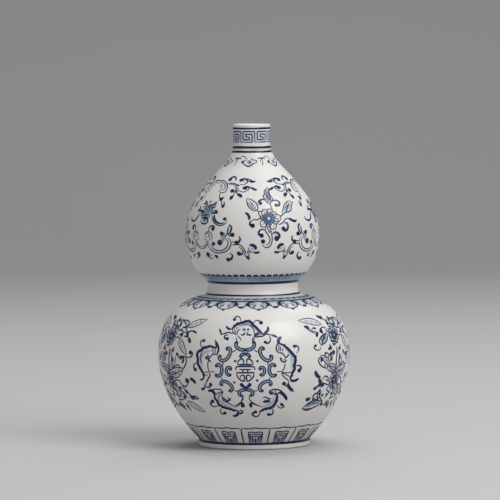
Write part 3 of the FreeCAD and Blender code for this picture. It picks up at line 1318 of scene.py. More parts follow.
@dataclass(frozen=True)
class GlazeFinish:
    """Clear porcelain glaze, with the cobalt painting that shows through it.

    Patches and bumps are given in the order in which the bench takes them.
    """
    name: str
    painted: bool = False
    body: Colour = (0.725, 0.708, 0.678)
    cloud: Colour = (0.695, 0.682, 0.66)
    speck: Colour = (0.36, 0.33, 0.30)
    absorbs: Colour = (6.4, 4.1, 2.05)
    pools: float = 1.15
    strengths: Sizes = (0.0, 0.12, 0.25, 0.42, 0.65, 1.0)
    clouds: Sizes = (28.0, 4.0, 0.55, 0.35, 0.68)
    specks: Sizes = (620.0, 1.0, 0.5, 0.765, 0.80, 0.0, 0.5)
    puddles: Sizes = (330.0, 3.0, 0.6, 0.25, 0.75, 0.72, 1.16)
    drift: Sizes = (60.0, 2.0, 0.5, 0.3, 0.7, 0.9, 1.08)
    gloss: Sizes = (55.0, 3.0, 0.5, 0.3, 0.7, 0.28, 0.42)
    ripple: Sizes = (0.10, 0.0005, 75.0, 2.0)
    peel: Sizes = (0.05, 0.0002, 420.0, 2.0)
    shine: Point = (0.45, 0.32)
    bending: float = 1.5
    coat: Point = (0.06, 0.2)

    def through(self, strength: float) -> Colour:
        """Share of light that comes back through cobalt of a strength."""
        return tuple(math.exp(-k * strength - self.pools * strength * strength)
                     for k in self.absorbs)

    def material(self) -> bpy.types.Material:
        """Build the material.

        Returns:
            The material.
        """
        bench = NodeBench(self.name)
        colour = bench.blend(bench.patches(*self.clouds), (*self.body, 1.0), (*self.cloud, 1.0))
        colour = bench.blend(bench.patches(*self.specks), colour, (*self.speck, 1.0))
        if self.painted:
            strength = bench.add("ShaderNodeAttribute", {"attribute_name": "cobalt"}).outputs["Fac"]
            for sizes in (self.puddles, self.drift):
                strength = bench.add("ShaderNodeMath", {"operation": "MULTIPLY"},
                                     {0: strength, 1: bench.patches(*sizes)}).outputs[0]
            film = bench.stops(strength, [(k, self.through(k)) for k in self.strengths])
            colour = bench.blend(1.0, colour, film, "MULTIPLY")
        normal = bench.bumps(*self.peel, under=bench.bumps(*self.ripple))
        return bench.surface(colour, bench.patches(*self.gloss), normal,
                             {"IOR": self.bending, "Coat Weight": self.coat[0],
                              "Coat Roughness": self.coat[1],
                              "Specular IOR Level": self.shine[int(self.painted)]})


@dataclass(frozen=True)
class PlainFinish:
    """A dull finish in two mingled colours, with a fine grain."""
    name: str
    first: Colour
    second: Colour
    mingling: Sizes
    roughness: Sizes
    grain: Sizes
    bending: float

    def material(self) -> bpy.types.Material:
        """Build the material.

        Returns:
            The material.
        """
        bench = NodeBench(self.name)
        colour = bench.blend(bench.patches(*self.mingling), (*self.first, 1.0),
                             (*self.second, 1.0))
        return bench.surface(colour, bench.patches(*self.roughness), bench.bumps(*self.grain),
                             {"IOR": self.bending})


BARE_CLAY = PlainFinish(
    "bare_fired_clay", (0.50, 0.45, 0.385), (0.36, 0.27, 0.19),
    mingling=(90.0, 5.0, 0.6, 0.42, 0.72), roughness=(300.0, 3.0, 0.5, 0.3, 0.7, 0.70, 0.9),
    grain=(0.35, 0.0002, 1400.0, 3.0), bending=1.45)
STUDIO_PAPER = PlainFinish(
    "studio_paper", (0.5, 0.5, 0.504), (0.4925, 0.4925, 0.49644),
    mingling=(2.0, 3.0, 0.5, 0.3, 0.7), roughness=(40.0, 3.0, 0.5, 0.3, 0.7, 0.86, 0.92),
    grain=(0.05, 0.0002, 900.0, 3.0), bending=1.15)


# Thrown sections


@dataclass(frozen=True)
class ThrownSection:
    """One thrown section of the vase, spun from its outline as on the wheel."""
    name: str
    nodes: tuple[str, ...]
    profile: tuple[Point, ...]
    closed: bool = True
    steps: int = 288
    bare_below: float = 1.5
    crease: float = 35.0
    weld: float = 0.001

    def throw(self, materials: Sequence[bpy.types.Material]) -> bpy.types.Object:
        """Spin the section and dress it.

        Args:
            materials: the glaze, and the bare clay where it has any.

        Returns:
            The piece.
        """
        bpy.ops.object.select_all(action="DESELECT")
        r, z = self.profile[0]
        bpy.ops.mesh.primitive_plane_add(size=4 * MM, location=(r * MM, 0.0, z * MM))
        piece = bpy.context.object
        piece.name = piece.data.name = self.name
        bpy.ops.object.transform_apply(location=True, rotation=True, scale=True)
        bpy.ops.object.mode_set(mode="EDIT")
        bpy.ops.mesh.select_all(action="SELECT")
        bpy.ops.mesh.merge(type="CENTER")
        points = [*self.profile, self.profile[0]] if self.closed else list(self.profile)
        for a, b in zip(points, points[1:]):
            move = ((b[0] - a[0]) * MM, 0.0, (b[1] - a[1]) * MM)
            bpy.ops.mesh.extrude_vertices_move(TRANSFORM_OT_translate={"value": move})
        bpy.ops.mesh.select_all(action="SELECT")
        bpy.ops.mesh.remove_doubles(threshold=self.weld * MM)
        bpy.ops.mesh.spin(steps=self.steps, angle=FULL_TURN, center=(0, 0, 0),
                          axis=(0, 0, 1), use_auto_merge=True)
        bpy.ops.mesh.select_all(action="SELECT")
        bpy.ops.mesh.remove_doubles(threshold=2 * self.weld * MM)
        bpy.ops.mesh.normals_make_consistent(inside=False)
        bpy.ops.object.mode_set(mode="OBJECT")
        for material in materials:
            piece.data.materials.append(material)
        if len(materials) > 1:
            for face in piece.data.polygons:
                face.material_index = int(face.center.z < self.bare_below * MM)
        bpy.ops.object.shade_smooth_by_angle(angle=math.radians(self.crease))
        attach(piece, "root")
        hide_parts(*self.nodes)
        return piece


@dataclass(frozen=True)
class Vase:
    """The seven thrown sections of the vase.

    Heights and radii are in millimetres. The steps are between outline points, outside
    and inside. Offsets of the foot and the lip are from the points that their names give.
    """
    outline: Outline
    skin_step: float = 2.2
    hollow_step: float = 5.0
    edge_step: float = 0.3
    edge_width: float = 0.08
    foot_inside: tuple[Point, ...] = ((0.0, 0.8), (0.4, 0.25), (1.2, 0.0))
    foot_outside: tuple[Point, ...] = ((-1.7, 0.0), (-0.9, 0.22), (-0.35, 0.75))
    bowl_top: float = 4.0
    bowl_least: float = 50.0
    bowl_edge: Point = (51.0, 1.2)
    bowl_rings: tuple[float, ...] = (48.0, 24.0, 0.0)
    under_bowl: float = 30.0
    neck_round: tuple[Point, ...] = ((-0.16, 0.45), (-0.55, 1.05))
    lip_outside: tuple[Point, ...] = ((-1.2, -0.18), (-1.9, 0.0))
    lip_inside: tuple[Point, ...] = ((0.8, -0.1), (0.25, -0.6))

    def skin(self, name: str) -> list[Point]:
        """Outside points of a section.

        Args:
            name: the section's name in the outline's plan.

        Returns:
            The points, from its foot up.
        """
        run = self.outline.run(name, self.skin_step)
        skin = beside(run, [self.outline.sizes.skin] * len(run))
        if name in ("upper_base", "upper_shoulder", "lower_shoulder", "collar", "neck"):
            skin[0] = (skin[0][0], run[0][1])
        if name not in ("foot", "neck"):
            skin[-1] = (skin[-1][0], run[-1][1])
        tip, before = skin[-1], skin[-2]
        if math.dist(tip, before) > self.edge_step:
            t = self.edge_width / math.dist(tip, before)
            skin.insert(-1, tuple(tip[k] + (before[k] - tip[k]) * t for k in (0, 1)))
        return skin

    def hollow(self, name: str, wall: float, low: float, high: float,
               least: float) -> list[Point]:
        """Inside points of a section, from its top down.

        Args:
            name: the section's name in the outline's plan.
            wall: its thickness.
            low: lowest height.
            high: greatest height.
            least: smallest radius.

        Returns:
            The points.
        """
        run = self.outline.run(name, self.hollow_step)
        kept = [(max(r, least), z) for r, z in beside(run, [wall] * len(run)) if low < z < high]
        inner = [(kept[0][0], low), *kept, (kept[-1][0], high)]
        return inner[::-1]

    def sections(self) -> list[ThrownSection]:
        """Close each section's outline.

        Returns:
            The sections, from the foot up.
        """
        s, made = self.outline.sizes, []
        foot = [(s.foot_inside, s.foot[1]),
                *((s.foot_inside + r, z) for r, z in self.foot_inside),
                *((s.foot[0] + r, z) for r, z in self.foot_outside), *self.skin("foot")]
        made.append(ThrownSection("foot_ring_glazed", ("foot_ring",), tuple(foot)))
        bowl = self.hollow("lower_base", s.lower_wall, s.floor + self.bowl_top,
                           s.lower_belly[1], self.bowl_least)
        floor = [(self.bowl_edge[0], s.floor + self.bowl_edge[1]),
                 *((r, s.floor) for r in self.bowl_rings)]
        made.append(ThrownSection(
            "lower_bulb_base_glazed", ("lower_bulb_base", "foot_slip_seam"),
            ((0.0, s.foot[1]), (self.under_bowl, s.foot[1]), *self.skin("lower_base"),
             *bowl, *floor), closed=False))
        plan = (
            ("lower_bulb_shoulder", "lower_shoulder", "lower_belly_slip_seam", s.lower_wall,
             s.lower_belly[1], s.shoulder_top[1], s.waist_bore),
            ("waist_collar", "collar", "shoulder_slip_seam", s.lower_wall, s.shoulder_top[1],
             s.collar_top[1], s.waist_bore),
            ("upper_bulb_base", "upper_base", "waist_slip_seam", s.upper_wall,
             s.collar_top[1], s.upper_belly[1], s.waist_bore),
            ("upper_bulb_shoulder", "upper_shoulder", "upper_belly_slip_seam", s.upper_wall,
             s.upper_belly[1], s.neck_foot[1], s.mouth))
        for name, run, seam, wall, low, high, least in plan:
            inside = self.hollow(run, wall, low, high, least)
            if run == "collar":
                inside = [(s.waist_bore, high), (s.waist_bore, low)]
            made.append(ThrownSection(f"{name}_glazed", (name, seam),
                                      (*self.skin(run), *inside)))
        top, lip = s.neck_top, s.lip
        rim = [*((top[0] + r, top[1] + z) for r, z in self.neck_round),
               *((top[0] + r, lip + z) for r, z in self.lip_outside),
               *((s.mouth + r, lip + z) for r, z in self.lip_inside),
               (s.mouth, top[1]), (s.mouth, s.neck_foot[1])]
        made.append(ThrownSection("neck_glazed", ("neck", "neck_slip_seam"),
                                  (*self.skin("neck"), *rim)))
        return made


# Painting


@dataclass(frozen=True)
class NeckPainting:
    """Key fret round the neck, between three lines.

    Lines are height and width, and washes are their two heights and strength.
    """
    lines: tuple[Point, ...] = ((325.6, 1.9), (306.3, 2.4), (301.75, 2.2))
    washes: tuple[tuple[float, float, float], ...] = ((310.4, 323.6, 0.07),
                                                      (302.7, 305.2, 0.05))
    fret_foot: float = 311.7
    fret_height: float = 10.8
    fret_line: Point = (1.05, 0.95)
    repeats: int = 8
    first: float = -9.6

    def paint(self, brush: Brush) -> None:
        """Draw the fret and its lines.

        Args:
            brush: the brush.
        """
        for height, width in self.lines:
            brush.ring(height, width, Tone.FULL.value)
        base = Chart(brush.surface, self.first, self.fret_foot)
        p, h = FULL_TURN * base.radius / self.repeats, self.fret_height
        key = [(-0.60 * p, 0.10), (0.24 * p, 0.0), (0.25 * p, h * 0.74), (-0.20 * p, h * 0.74),
               (-0.20 * p, h * 0.52), (0.06 * p, h * 0.43), (0.06 * p, h * 0.22),
               (-0.40 * p, h * 0.24), (-0.40 * p, h), (0.42 * p, h), (0.42 * p, 0.1)]
        for _ in brush.around(base, self.repeats):
            brush.line(key, *self.fret_line, straight=True)

    def tint(self, brush: Brush) -> None:
        """Lay the pale washes behind the fret and between the lines."""
        for low, high, tone in self.washes:
            brush.band(low, high, tone)


@dataclass(frozen=True)
class WaistPainting:
    """Scallops over the white collar, and the fret and cloud border under it.

    Lines are height and width, and washes are their two heights, strength and unevenness.
    Tables of marks give points, width and strength.
    """
    scallop_foot: float = 171.0
    scallop_height: float = 6.8
    scallops: int = 50
    shake: float = 0.25
    lines: tuple[Point, ...] = ((169.3, 3.0), (156.5, 2.2), (151.8, 3.3))
    line_tone: float = 0.96
    washes: tuple[tuple[float, ...], ...] = (
        (170.6, 176.6, 0.17, 0.3), (152.6, 155.8, 0.08), (152.4, 153.8, 0.12),
        (148.0, 151.4, 0.045))
    fret: Point = (152.6, 155.9)
    frets: int = 40
    heads: int = 13
    head_at: tuple[float, float, float] = (4.1, 143.4, 72.5)
    head_marks: tuple[tuple, ...] = (
        (((4.4, 10.4), (6.6, 11.6), (8.4, 10.6)), 1.2, 0.7),
        (((2.4, 8.2), (4.8, 7.4), (6.8, 8.4)), 1.1, 0.6),
        (((3.4, 5.0), (6.2, 6.2)), 1.1, 0.6),
        (((8.0, 7.0), (9.6, 8.8)), 1.2, 0.7),
        (((14.8, 6.6), (10.6, 7.8), (7.0, 4.4), (2.8, 2.6), (0.0, 0.6)), 1.2, 0.9),
        (((13.6, 14.0), (12.6, 10.6), (14.4, 7.2)), 0.9, 0.6),
        (((1.8, 6.0), (3.8, 8.4), (2.0, 10.8)), 0.9, 0.65))
    tip: Point = (17.46, 5.6)

    def paint(self, brush: Brush) -> None:
        """Draw the scallops, lines, small fret and cloud heads.

        Args:
            brush: the brush.
        """
        for height, width in self.lines:
            brush.ring(height, width, self.line_tone)
        base = Chart(brush.surface, 3.0, self.scallop_foot + 2.0)
        p, top = FULL_TURN * base.radius / self.scallops, self.scallop_height
        for _ in brush.around(base, self.scallops):
            with brush.at(y=brush.hand.uniform(-self.shake, self.shake)):
                brush.line([(-0.35 * p, top * 0.56), (-0.24 * p, top * 0.80), (0.0, top * 0.92),
                            (0.24 * p, top * 0.80), (0.35 * p, top * 0.56)], 2.2, 1.0, taper=0.3)
                brush.disc(brush.moved([(0.5 * p, top * 0.36)])[0], 0.6, 0.45)
                brush.line([(0.0, top * 0.62), (0.02 * p, -0.4)], 0.7, 0.5)
        self.small_fret(brush)
        self.cloud_heads(brush)

    def small_fret(self, brush: Brush) -> None:
        """Draw the narrow fret between the two lines.

        Args:
            brush: the brush.
        """
        base = Chart(brush.surface, 0.0, self.fret[0])
        h = brush.surface.along_at(self.fret[1]) - base.zero
        p = FULL_TURN * base.radius / self.frets
        key = [(-0.42 * p, h * 0.14), (-0.42 * p, h * 0.90), (0.32 * p, h * 0.90),
               (0.32 * p, h * 0.20), (-0.06 * p, h * 0.20), (-0.06 * p, h * 0.56)]
        for _ in brush.around(base, self.frets):
            brush.line(key, 2.2, 1.0, straight=True)

    def cloud_heads(self, brush: Brush) -> None:
        """Draw the cloud heads and the dabs between them.

        Args:
            brush: the brush.
        """
        for _ in brush.around(Chart(brush.surface, *self.head_at), self.heads):
            for _ in brush.mirrored():
                brush.comma([(3.4, 13.4), (7.0, 14.6), (10.4, 13.6), (10.9, 10.6)],
                            2.3, 1.8, 1.0)
                for points, width, tone in self.head_marks:
                    brush.line(points, width, tone)
            brush.line([(0.0, -0.2), (0.0, 2.8)], 2.2, 1.0, taper=0.7)
            with brush.at(*self.tip):
                brush.line([(-3.0, 0.2), (0.0, -0.6), (3.0, 0.4)], 2.9, 1.0, taper=0.4)

    def tint(self, brush: Brush) -> None:
        """Lay the washes of the scallops and of the borders.

        Args:
            brush: the brush.
        """
        for wash_sizes in self.washes:
            brush.band(*wash_sizes)
        for _ in brush.around(Chart(brush.surface, *self.head_at), self.heads):
            for side in (-1, 1):
                brush.wash([(side * 5.0, 16.2), (side * 12.0, 14.4)], 4.0, 0.12)
                brush.wash([(side * 13.0, 12.0), (side * 15.0, 8.4)], 3.0, 0.14)
            brush.wash([(0.0, 1.6), (0.0, 5.0)], 3.4, 0.12)


@dataclass(frozen=True)
class FootPainting:
    """Upright panels round the base, with nested arches, over a heavy line.

    The line is height and width, and arches are shares of a panel's half width and
    height, and the line's width.
    """
    panels: int = 15
    base: tuple[float, float, float] = (0.8, 7.0, 65.0)
    top: float = 23.6
    line: Point = (6.35, 2.5)
    shake: float = 0.25
    edge: float = 1.25
    arches: tuple[tuple[float, float, float], ...] = (
        (0.49, 0.78, 1.3), (0.36, 0.64, 1.2), (0.22, 0.50, 1.3))

    def paint(self, brush: Brush) -> None:
        """Draw the panels.

        Args:
            brush: the brush.
        """
        brush.ring(*self.line, 1.0)
        base = Chart(brush.surface, *self.base)
        h = FULL_TURN * base.radius / self.panels / 2
        top = brush.surface.along_at(self.top) - base.zero
        for _ in brush.around(base, self.panels):
            with brush.at(y=brush.hand.uniform(-self.shake, self.shake)):
                brush.line([(-h, 0.0), (-h * 0.99, top * 0.92)], self.edge, 1.0)
                brush.line([(-h, top * 0.93), (-h * 0.85, top), (-h * 0.3, top * 0.99),
                            (0.0, top * 1.05), (h * 0.3, top * 0.99), (h * 0.85, top),
                            (h * 0.98, top * 0.93)], self.edge, 1.0)
                for reach, height, width in self.arches:
                    x, y = h * reach, top * height
                    brush.line([(-x, 0.2), (-x, y * 0.86), (-x * 0.86, y * 0.98),
                                (-x * 0.3, y * 0.98), (0.0, y * 0.92), (x * 0.3, y * 0.98),
                                (x * 0.86, y * 0.98), (x, y * 0.86), (x, 0.2)], width, 1.0)
                brush.line([(0.0, 0.2), (0.0, top * 0.34)], 1.6, 0.8)

    def tint(self, brush: Brush) -> None:
        """Lay the wash inside the arches."""
        for _ in brush.around(Chart(brush.surface, *self.base), self.panels):
            brush.wash([(0.0, -1.0), (0.0, 8.0)], 5.6, 0.26)


FRET_SHEET = TracingSheet(222, 118, 25.29)
FLOWER_SHEET = TracingSheet(235, 180, 19.6)
KNOT_SHEET = TracingSheet(180, 165, 15.68)
RING_SHEET = TracingSheet(226, 300, 13.07)
BATS_SHEET = TracingSheet(192, 305, 13)
LOTUS_SHEET = TracingSheet(282, 300, 10)
LOTUS_SIDE_SHEET = TracingSheet(155.2, 305, 13.4)
EMBLEM_SHEET = TracingSheet(190, 193, 36)

COLLAR_CLOUD = (
    pale(0.8, 470, 985, 540, 968, 600, 1000, 625, 1065),
    comma(1.0, 1.25, 600, 1075, 560, 1075, 522, 1115),
    line(1.2, 535, 1140, 590, 1190, 665, 1224, 740, 1195, 800, 1148, 862, 1134),
    bold(1.7, 625, 1212, 665, 1222, 712, 1212),
    line(0.8, 640, 1115, 688, 1078, 730, 1118, 690, 1158, 642, 1118),
    line(0.9, 725, 1010, 765, 1055, 820, 1062, 872, 1078, 880, 1110, 850, 1140),
    dot(0.9, 690, 1118, tone=Tone.SOFT),
    wash(5.0, 560, 1060, 690, 1110, 820, 1090, tone=Tone.HAZE),
    pale(1.3, 900, 1024, 960, 1012, 1040, 1012, 1095, 1028), line(1.5, 1000, 995, 1000, 1062),
    pale(0.7, 985, 1060, 968, 1102), pale(0.7, 1015, 1060, 1030, 1110, 1028, 1205),
)

FLOWER_SPRAY = (
    # bud
    line(1.0, 640, 142, 592, 190, 570, 232, 580, 272, 552, 312, 576, 370, 622, 432, 694, 484),
    line(1.0, 640, 142, 658, 200, 670, 258, 700, 312, 740, 372, 732, 402, 702, 436, 700, 484),
    line(1.5, 598, 286, 628, 318, 655, 352, 690, 402), line(0.8, 612, 196, 606, 240, 630, 290),
    line(0.8, 640, 205, 650, 262, 684, 330, 704, 396, 696, 440),
    line(0.8, 582, 330, 616, 372, 650, 412, 690, 444), wash(5.4, 626, 200, 630, 300, 672, 420),
    line(0.9, 698, 478, 712, 540, 742, 585),
    # curls by the bud
    comma(1.7, 1.6, 604, 402, 560, 380, 505, 390, 468, 424, 497, 456),
    comma(1.7, 1.6, 738, 424, 772, 396, 830, 402, 872, 446, 862, 496, 808, 492),
    # left leaf
    leaf(8.6, 430, 600, 350, 500, 232, 366), line(0.9, 246, 440, 300, 500, 352, 556, 420, 596),
    line(0.8, 262, 400, 322, 452, 368, 520), pale(0.9, 424, 596, 470, 618, 556, 612),
    line(0.9, 456, 618, 470, 670, 492, 722),
    # right leaf
    line(0.9, 938, 676, 924, 628, 946, 560, 962, 490, 1010, 432, 1064, 402),
    line(1.0, 938, 676, 1000, 634, 1062, 622, 1100, 580, 1100, 524, 1118, 470, 1130, 424),
    pale(0.7, 1064, 402, 1092, 432, 1130, 424),
    line(1.0, 990, 640, 1012, 590, 1034, 520, 1064, 456),
    pale(0.7, 968, 560, 1004, 520, 1024, 470), wash(7.0, 962, 640, 1020, 540, 1084, 440),
    line(1.0, 850, 688, 904, 702, 944, 670, 992, 632),
    # left hook
    line(1.0, 592, 742, 500, 748, 440, 782, 372, 776, 326, 800),
    comma(1.9, 1.9, 330, 796, 294, 830, 300, 884, 346, 896),
    line(1.9, 276, 792, 276, 722, 244, 668, 190, 638),
    # right hook
    line(1.0, 850, 876, 914, 852, 958, 806, 1000, 758, 1046, 744),
    line(1.9, 1034, 748, 1090, 770, 1168, 806, 1214, 778),
    comma(2.0, 1.8, 960, 846, 1012, 836, 1040, 892, 1028, 960, 982, 990, 950, 952),
    # stem and its hook
    line(1.0, 602, 916, 594, 990, 640, 1064, 680, 1130, 684, 1202, 648, 1262, 600, 1268),
    line(1.0, 712, 980, 718, 1060, 728, 1112, 728, 1196, 700, 1282, 636, 1326, 572, 1308, 530,
         1262), line(0.8, 628, 900, 646, 966, 684, 1046), line(0.8, 694, 900, 690, 970, 688, 1040),
    dot(2.3, 550, 1204), comma(1.7, 1.8, 592, 984, 530, 966, 474, 1004, 468, 1062, 522, 1090),
    comma(2.1, 2.2, 732, 1062, 782, 1020, 846, 1044, 872, 1104, 818, 1148),
    wash(4.0, 790, 1040, 800, 1110),
)

# right half of the knot and its scrolls, which the left half mirrors
KNOT_SPRAY = (
    # round flower above
    line(0.9, 560, 262, 620, 246, 690, 244, 734, 292, 742, 366, 704, 424, 646, 432, 606, 396),
    pale(0.7, 600, 290, 650, 276, 700, 300, 706, 360, 668, 390, 626, 372),
    wash(3.0, 590, 276, 700, 280, 712, 380, 640, 410, tone=Tone.HAZE),
    pale(0.8, 610, 330, 650, 310, 664, 350, 630, 352),
    # spray to the right
    line(1.0, 738, 290, 792, 284, 844, 284, 880, 304, 912, 324),
    pale(0.8, 748, 306, 808, 300, 854, 314, 878, 345, 888, 378),
    bold(1.7, 880, 302, 900, 312, 914, 330), bold(2.0, 806, 382, 816, 412, 852, 416),
    dot(2.3, 820, 406), line(1.0, 850, 414, 884, 396), line(1.0, 838, 452, 872, 424, 890, 400),
    line(1.0, 894, 452, 890, 412), line(0.9, 843, 447, 838, 482, 808, 530),
    bold(2.5, 824, 476, 804, 510, 788, 546), bold(2.4, 894, 452, 933, 468, 950, 484, 961, 512),
    pale(0.9, 900, 340, 940, 312, 990, 306, 1010, 302),
    comma(1.8, 1.9, 1003, 309, 1043, 284, 1065, 255, 1046, 227, 1003, 216, 966, 236),
    line(0.9, 1035, 212, 1082, 221, 1129, 244, 1188, 256),
    bold(2.0, 1086, 244, 1129, 263, 1186, 258),
    comma(1.8, 1.8, 872, 250, 880, 206, 850, 184, 808, 200, 788, 226),
    line(1.0, 920, 400, 949, 410, 996, 424, 1035, 408, 1082, 388),
    comma(2.1, 2.0, 1080, 384, 1086, 353, 1050, 338, 1018, 360),
    bold(1.9, 1108, 362, 1145, 370, 1180, 388, 1212, 394),
    pale(0.7, 1090, 345, 1137, 353, 1160, 362),
    wash(5.0, 880, 340, 900, 400, 930, 410, tone=Tone.SOFT), wash(3.6, 990, 262, 1040, 250),
    wash(3.2, 1034, 374, 1076, 382),
    # stem below the flower
    pale(0.9, 634, 436, 616, 500, 640, 540), comma(2.2, 1.8, 690, 502, 664, 520, 644, 536),
    pale(0.9, 660, 560, 648, 600, 668, 640), comma(1.4, 1.5, 690, 570, 692, 620, 672, 646),
    # wreath
    line(1.0, 432, 1186, 450, 1276, 532, 1364, 650, 1378, 748, 1334, 796, 1252, 788, 1182, 740,
         1140), line(1.0, 474, 1236, 540, 1326, 650, 1342, 736, 1284, 752, 1200, 704, 1146),
    dot(2.2, 524, 1236), dot(3.0, 622, 1216),
    wash(4.6, 640, 1240, 684, 1130, 700, 1060, tone=Tone.SOFT),
    wash(4.8, 1092, 1306, 1136, 1318, 1168, 1346), line(1.4, 526, 1216, 522, 1262),
    wash(3.6, 634, 1190, 650, 1150, 664, 1088), bold(2.6, 668, 1112, 652, 1078, 636, 1042),
    line(1.6, 650, 1084, 690, 1066),
    # leaf and commas over the wreath
    line(1.0, 700, 1132, 738, 1078, 748, 1010, 776, 948),
    line(1.5, 770, 930, 806, 974, 800, 1030, 770, 1082),
    comma(1.5, 1.9, 752, 1066, 778, 1108, 820, 1094), wash(4.0, 716, 1120, 762, 1050, 780, 980),
    comma(1.6, 1.6, 446, 1044, 464, 974, 510, 956, 534, 984, 514, 1004),
    line(0.8, 404, 1144, 388, 1096, 428, 1066, 456, 1104, 424, 1130),
    line(0.9, 345, 1312, 392, 1294, 430, 1244, 450, 1192),
    line(0.7, 345, 1284, 382, 1264, 408, 1228, 416, 1186, 396, 1160, 372, 1176),
    line(0.7, 452, 1090, 470, 1140, 450, 1190),
    pale(0.8, 396, 1062, 440, 1044, 488, 1070, 504, 1130, 484, 1196),
    # run to the right
    comma(2.0, 1.7, 924, 1118, 944, 1164, 914, 1214, 884, 1216),
    pale(0.9, 798, 1212, 850, 1206, 884, 1216),
    line(1.1, 800, 1256, 880, 1248, 950, 1262, 1004, 1322, 1024, 1388),
    pale(0.9, 920, 1284, 966, 1320, 980, 1360), dot(2.5, 926, 1390),
    pale(1.3, 960, 1420, 990, 1370, 974, 1330), line(0.9, 1031, 1352, 1016, 1404, 1048, 1464),
    line(0.9, 1050, 1360, 1082, 1402, 1080, 1452), bold(2.3, 1046, 1424, 1064, 1452, 1088, 1484),
    wash(2.6, 1040, 1368, 1050, 1418), line(0.9, 1040, 1346, 1098, 1366, 1162, 1366),
    pale(0.8, 1074, 1292, 1076, 1330, 1112, 1362),
    bold(2.5, 1084, 1262, 1140, 1258, 1178, 1284, 1190, 1332),
    bold(1.9, 1150, 1364, 1190, 1378, 1256, 1362),
    # commas below
    comma(1.4, 2.2, 520, 1462, 476, 1456, 440, 1406), bold(2.4, 546, 1410, 598, 1460),
    comma(2.0, 1.9, 780, 1380, 824, 1420, 800, 1474, 754, 1484), wash(3.4, 480, 1400, 530, 1420),
)

# the knot in the middle, with its ribbons
EMBLEM = (
    # crown
    line(1.5, 580, 276, 590, 322, 640, 340), dot(1.1, 584, 296),
    line(1.5, 756, 286, 738, 320, 694, 334), dot(1.0, 752, 304),
    line(1.4, 954, 322, 930, 360, 880, 388, 840, 384), dot(1.2, 940, 345),
    line(1.4, 662, 370, 594, 400, 514, 376, 490, 400),
    line(1.2, 700, 440, 762, 416, 850, 444, 906, 436, 952, 396),
    # petals under the crown
    line(1.0, 468, 530, 516, 478, 576, 500, 566, 552, 494, 556),
    line(1.1, 608, 430, 704, 528, 682, 640, 590, 690),
    line(1.1, 682, 430, 780, 500, 806, 600, 756, 690), line(1.0, 800, 500, 876, 526, 930, 470),
    line(0.9, 520, 600, 600, 610, 660, 560),
    # bar
    bold(1.5, 378, 476, 380, 540, 346, 590), dot(1.7, 318, 622),
    bold(1.8, 340, 620, 444, 646, 540, 690), bold(2.0, 930, 600, 948, 690, 1000, 726),
    bold(1.6, 750, 742, 870, 716, 980, 716), line(1.1, 840, 640, 900, 640, 960, 668),
    # body
    line(1.0, 396, 720, 540, 768, 712, 764), line(0.9, 410, 790, 540, 826, 684, 812),
    line(1.1, 434, 862, 540, 886, 650, 872), line(0.9, 396, 700, 400, 800, 440, 900),
    line(0.9, 720, 770, 690, 850, 640, 910),
    bold(1.4, 408, 946, 394, 1030, 468, 1104, 576, 1092, 638, 1010, 624, 930, 516, 908, 420, 936),
    line(0.9, 462, 980, 520, 1000, 580, 970),
    # ribbons
    line(1.0, 800, 790, 800, 900, 834, 1014, 904, 1104, 1000, 1160, 1120, 1174, 1230, 1124, 1312,
         1030, 1300, 960),
    bold(1.6, 880, 776, 884, 900, 924, 1000, 1004, 1074, 1120, 1102, 1224, 1060),
    dot(1.5, 1246, 950, tone=Tone.MID), line(0.8, 1190, 980, 1214, 900, 1276, 890, 1316, 950),
    line(1.7, 336, 700, 316, 780, 264, 876, 180, 984, 108, 1008, 60, 944, 76, 850),
    wash(6.6, 640, 420, 620, 560, 560, 680, tone=Tone.SOFT),
    wash(3.6, 340, 640, 520, 690, 940, 690, tone=Tone.SOFT),
    wash(5.6, 740, 460, 780, 560, 700, 700, tone=Tone.SOFT),
    wash(7.0, 540, 760, 540, 900, 500, 1040, tone=Tone.SOFT),
    wash(2.4, 840, 800, 850, 980, 1000, 1116, tone=Tone.MID),
)

